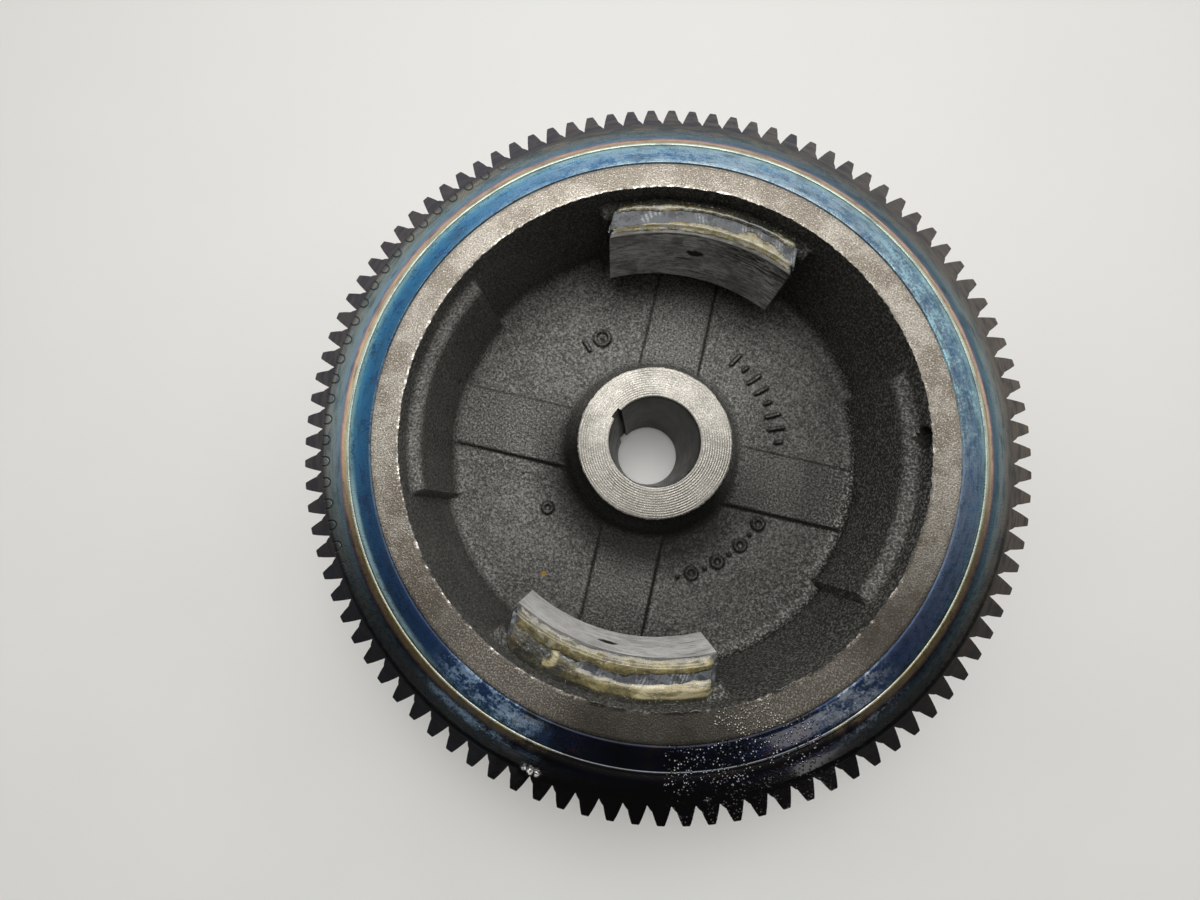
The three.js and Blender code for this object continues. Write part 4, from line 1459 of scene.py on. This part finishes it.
def joined(pieces):
    """One mesh object from several."""
    with bpy.context.temp_override(active_object=pieces[0], selected_editable_objects=pieces):
        bpy.ops.object.join()
    return pieces[0]


def machine(body):
    """Ignition pocket, balance and dowel holes, and then the screw holes in the pocket."""
    holes = [(BALANCE_CIRCLE_R, angle, BALANCE_R, BALANCE_DEPTH, 2.0) for angle in BALANCE_ANGLES]
    holes += [(DOWEL_CIRCLE_R, angle, DOWEL_HOLE_R, DOWEL_DEPTH, 1.2) for angle in (0, 90, 180, 270)]
    cut(body, joined([pocket_cutter()] + [upright(*hole) for hole in holes]))
    rings = (SCREW_END_R - 0.6, SCREW_THREAD_R), (POCKET_FLOOR_R + 1, SCREW_THREAD_R)
    drills = [round_bar("drill", rings, side * SHOE_MIDDLE) for side in (-1, 1)]
    cut(body, turned(joined(drills), "holes", IGNITION_ANGLE))
    body.data.set_sharp_from_angle(angle=math.radians(38))


# ---------------------------------------------------------------- stage, light and camera

CAMERA_PLACE = (-15.75, -28.22, RIM_Z + 147.48)
CAMERA_LENS = 14.4
CAMERA_TILT = 8.324
CAMERA_LEAN = 1.358


def laid_out(x, y, z):
    """A place given along the view's right and up, in the CAD axes and in metres."""
    return Matrix.Rotation(math.radians(LAYOUT_TURN), 3, "Z") @ Vector((x, y, z)) * MM


def camera():
    data = bpy.data.cameras.new("camera")
    data.lens = CAMERA_LENS
    data.sensor_width = 36.0
    data.clip_start = 0.005
    data.clip_end = 20.0
    made = add("camera", data)
    aim = Matrix.Rotation(math.radians(LAYOUT_TURN), 4, "Z")
    aim = aim @ Matrix.Rotation(math.radians(CAMERA_LEAN), 4, "Y")
    aim = aim @ Matrix.Rotation(math.radians(CAMERA_TILT), 4, "X")
    made.matrix_world = Matrix.Translation(laid_out(*CAMERA_PLACE)) @ aim
    bpy.context.scene.camera = made


def floor():
    """Plain pale paper."""
    half = 1500.0
    corners = [(-half, -half, 0), (half, -half, 0), (half, half, 0), (-half, half, 0)]
    s = Shader("paper")
    soft = s.noise(60, 3)
    s.base = s.mix(soft, (0.76, 0.755, 0.735), (0.80, 0.795, 0.78))
    paper = s.done(0.0, s.step(0.3, 0.7, soft, 0.75, 0.85))
    ground = make_object("floor", np.array(corners), [[0, 1, 2, 3]], [paper])


def lamp(name, place, target, size, power, colour=(1, 1, 1)):
    data = bpy.data.lights.new(name, "AREA")
    data.shape = "RECTANGLE"
    data.size, data.size_y = size[0] * MM, size[1] * MM
    data.energy = power
    data.color = colour
    made = add(name, data)
    made.location = laid_out(*place)
    aim = laid_out(*target) - made.location
    made.rotation_mode = "QUATERNION"
    made.rotation_quaternion = aim.to_track_quat("-Z", "Y")


def studio():
    """Surroundings: a pale ceiling ahead of the viewer, and the dark of the viewer above."""
    world = bpy.data.worlds.new("studio")
    bpy.context.scene.world = world
    world.use_nodes = True
    tree = world.node_tree
    place = tree.nodes.new("ShaderNodeTexCoord")
    ahead = tree.nodes.new("ShaderNodeVectorMath")
    ahead.operation = "DOT_PRODUCT"
    ahead.inputs[1].default_value = laid_out(0, 1, 0) / MM
    tree.links.new(place.outputs["Generated"], ahead.inputs[0])
    fade = tree.nodes.new("ShaderNodeMapRange")
    fade.interpolation_type = "SMOOTHSTEP"
    for socket, value in zip(list(fade.inputs)[1:5], (-0.20, 0.17, 0.06, 1.13)):
        socket.default_value = value
    tree.links.new(ahead.outputs["Value"], fade.inputs[0])
    background = tree.nodes["Background"]
    background.inputs["Color"].default_value = (1.0, 0.99, 0.97, 1)
    tree.links.new(fade.outputs["Result"], background.inputs["Strength"])


def bore_light():
    """Narrow lamp straight above the bore, so that the paper shows through it as pale as
    it does round the part."""
    data = bpy.data.lights.new("bore", "SPOT")
    data.energy = 6.5
    data.spot_size = math.radians(1.9)
    data.spot_blend = 0.3
    data.shadow_soft_size = 0.003
    add("bore", data).location = (0, 0, 0.9)


def lights():
    bore_light()
    lamp("key", (20, 260, 640), (0, 20, 40), (420, 320), 1.9, (1.0, 0.995, 0.98))
    lamp("side_left", (-253, -390, 1000), (0, 0, 60), (200, 150), 0.22)
    lamp("side_right", (396, -429, 1000), (0, 0, 60), (200, 150), 0.22)
    studio()


# ---------------------------------------------------------------- assembly

body = casting()
machine(body)
keep_painted_shade(body)
ring_gear()
for place, degrees, seed in (("upper", 0, 20), ("lower", 180, 50)):
    charge_magnet(place, degrees, seed)
    pole_plate(place, degrees, seed + 5)
    plate_glue(place, degrees, seed + 10)
    seat_glue(place, degrees, seed + 15)
ignition_block()
for place, side in (("leading", 1), ("trailing", -1)):
    pole_shoe(place, side)
    shoe_screw(place, side)

camera()
floor()
lights()
bpy.context.scene.view_settings.view_transform = "Standard"
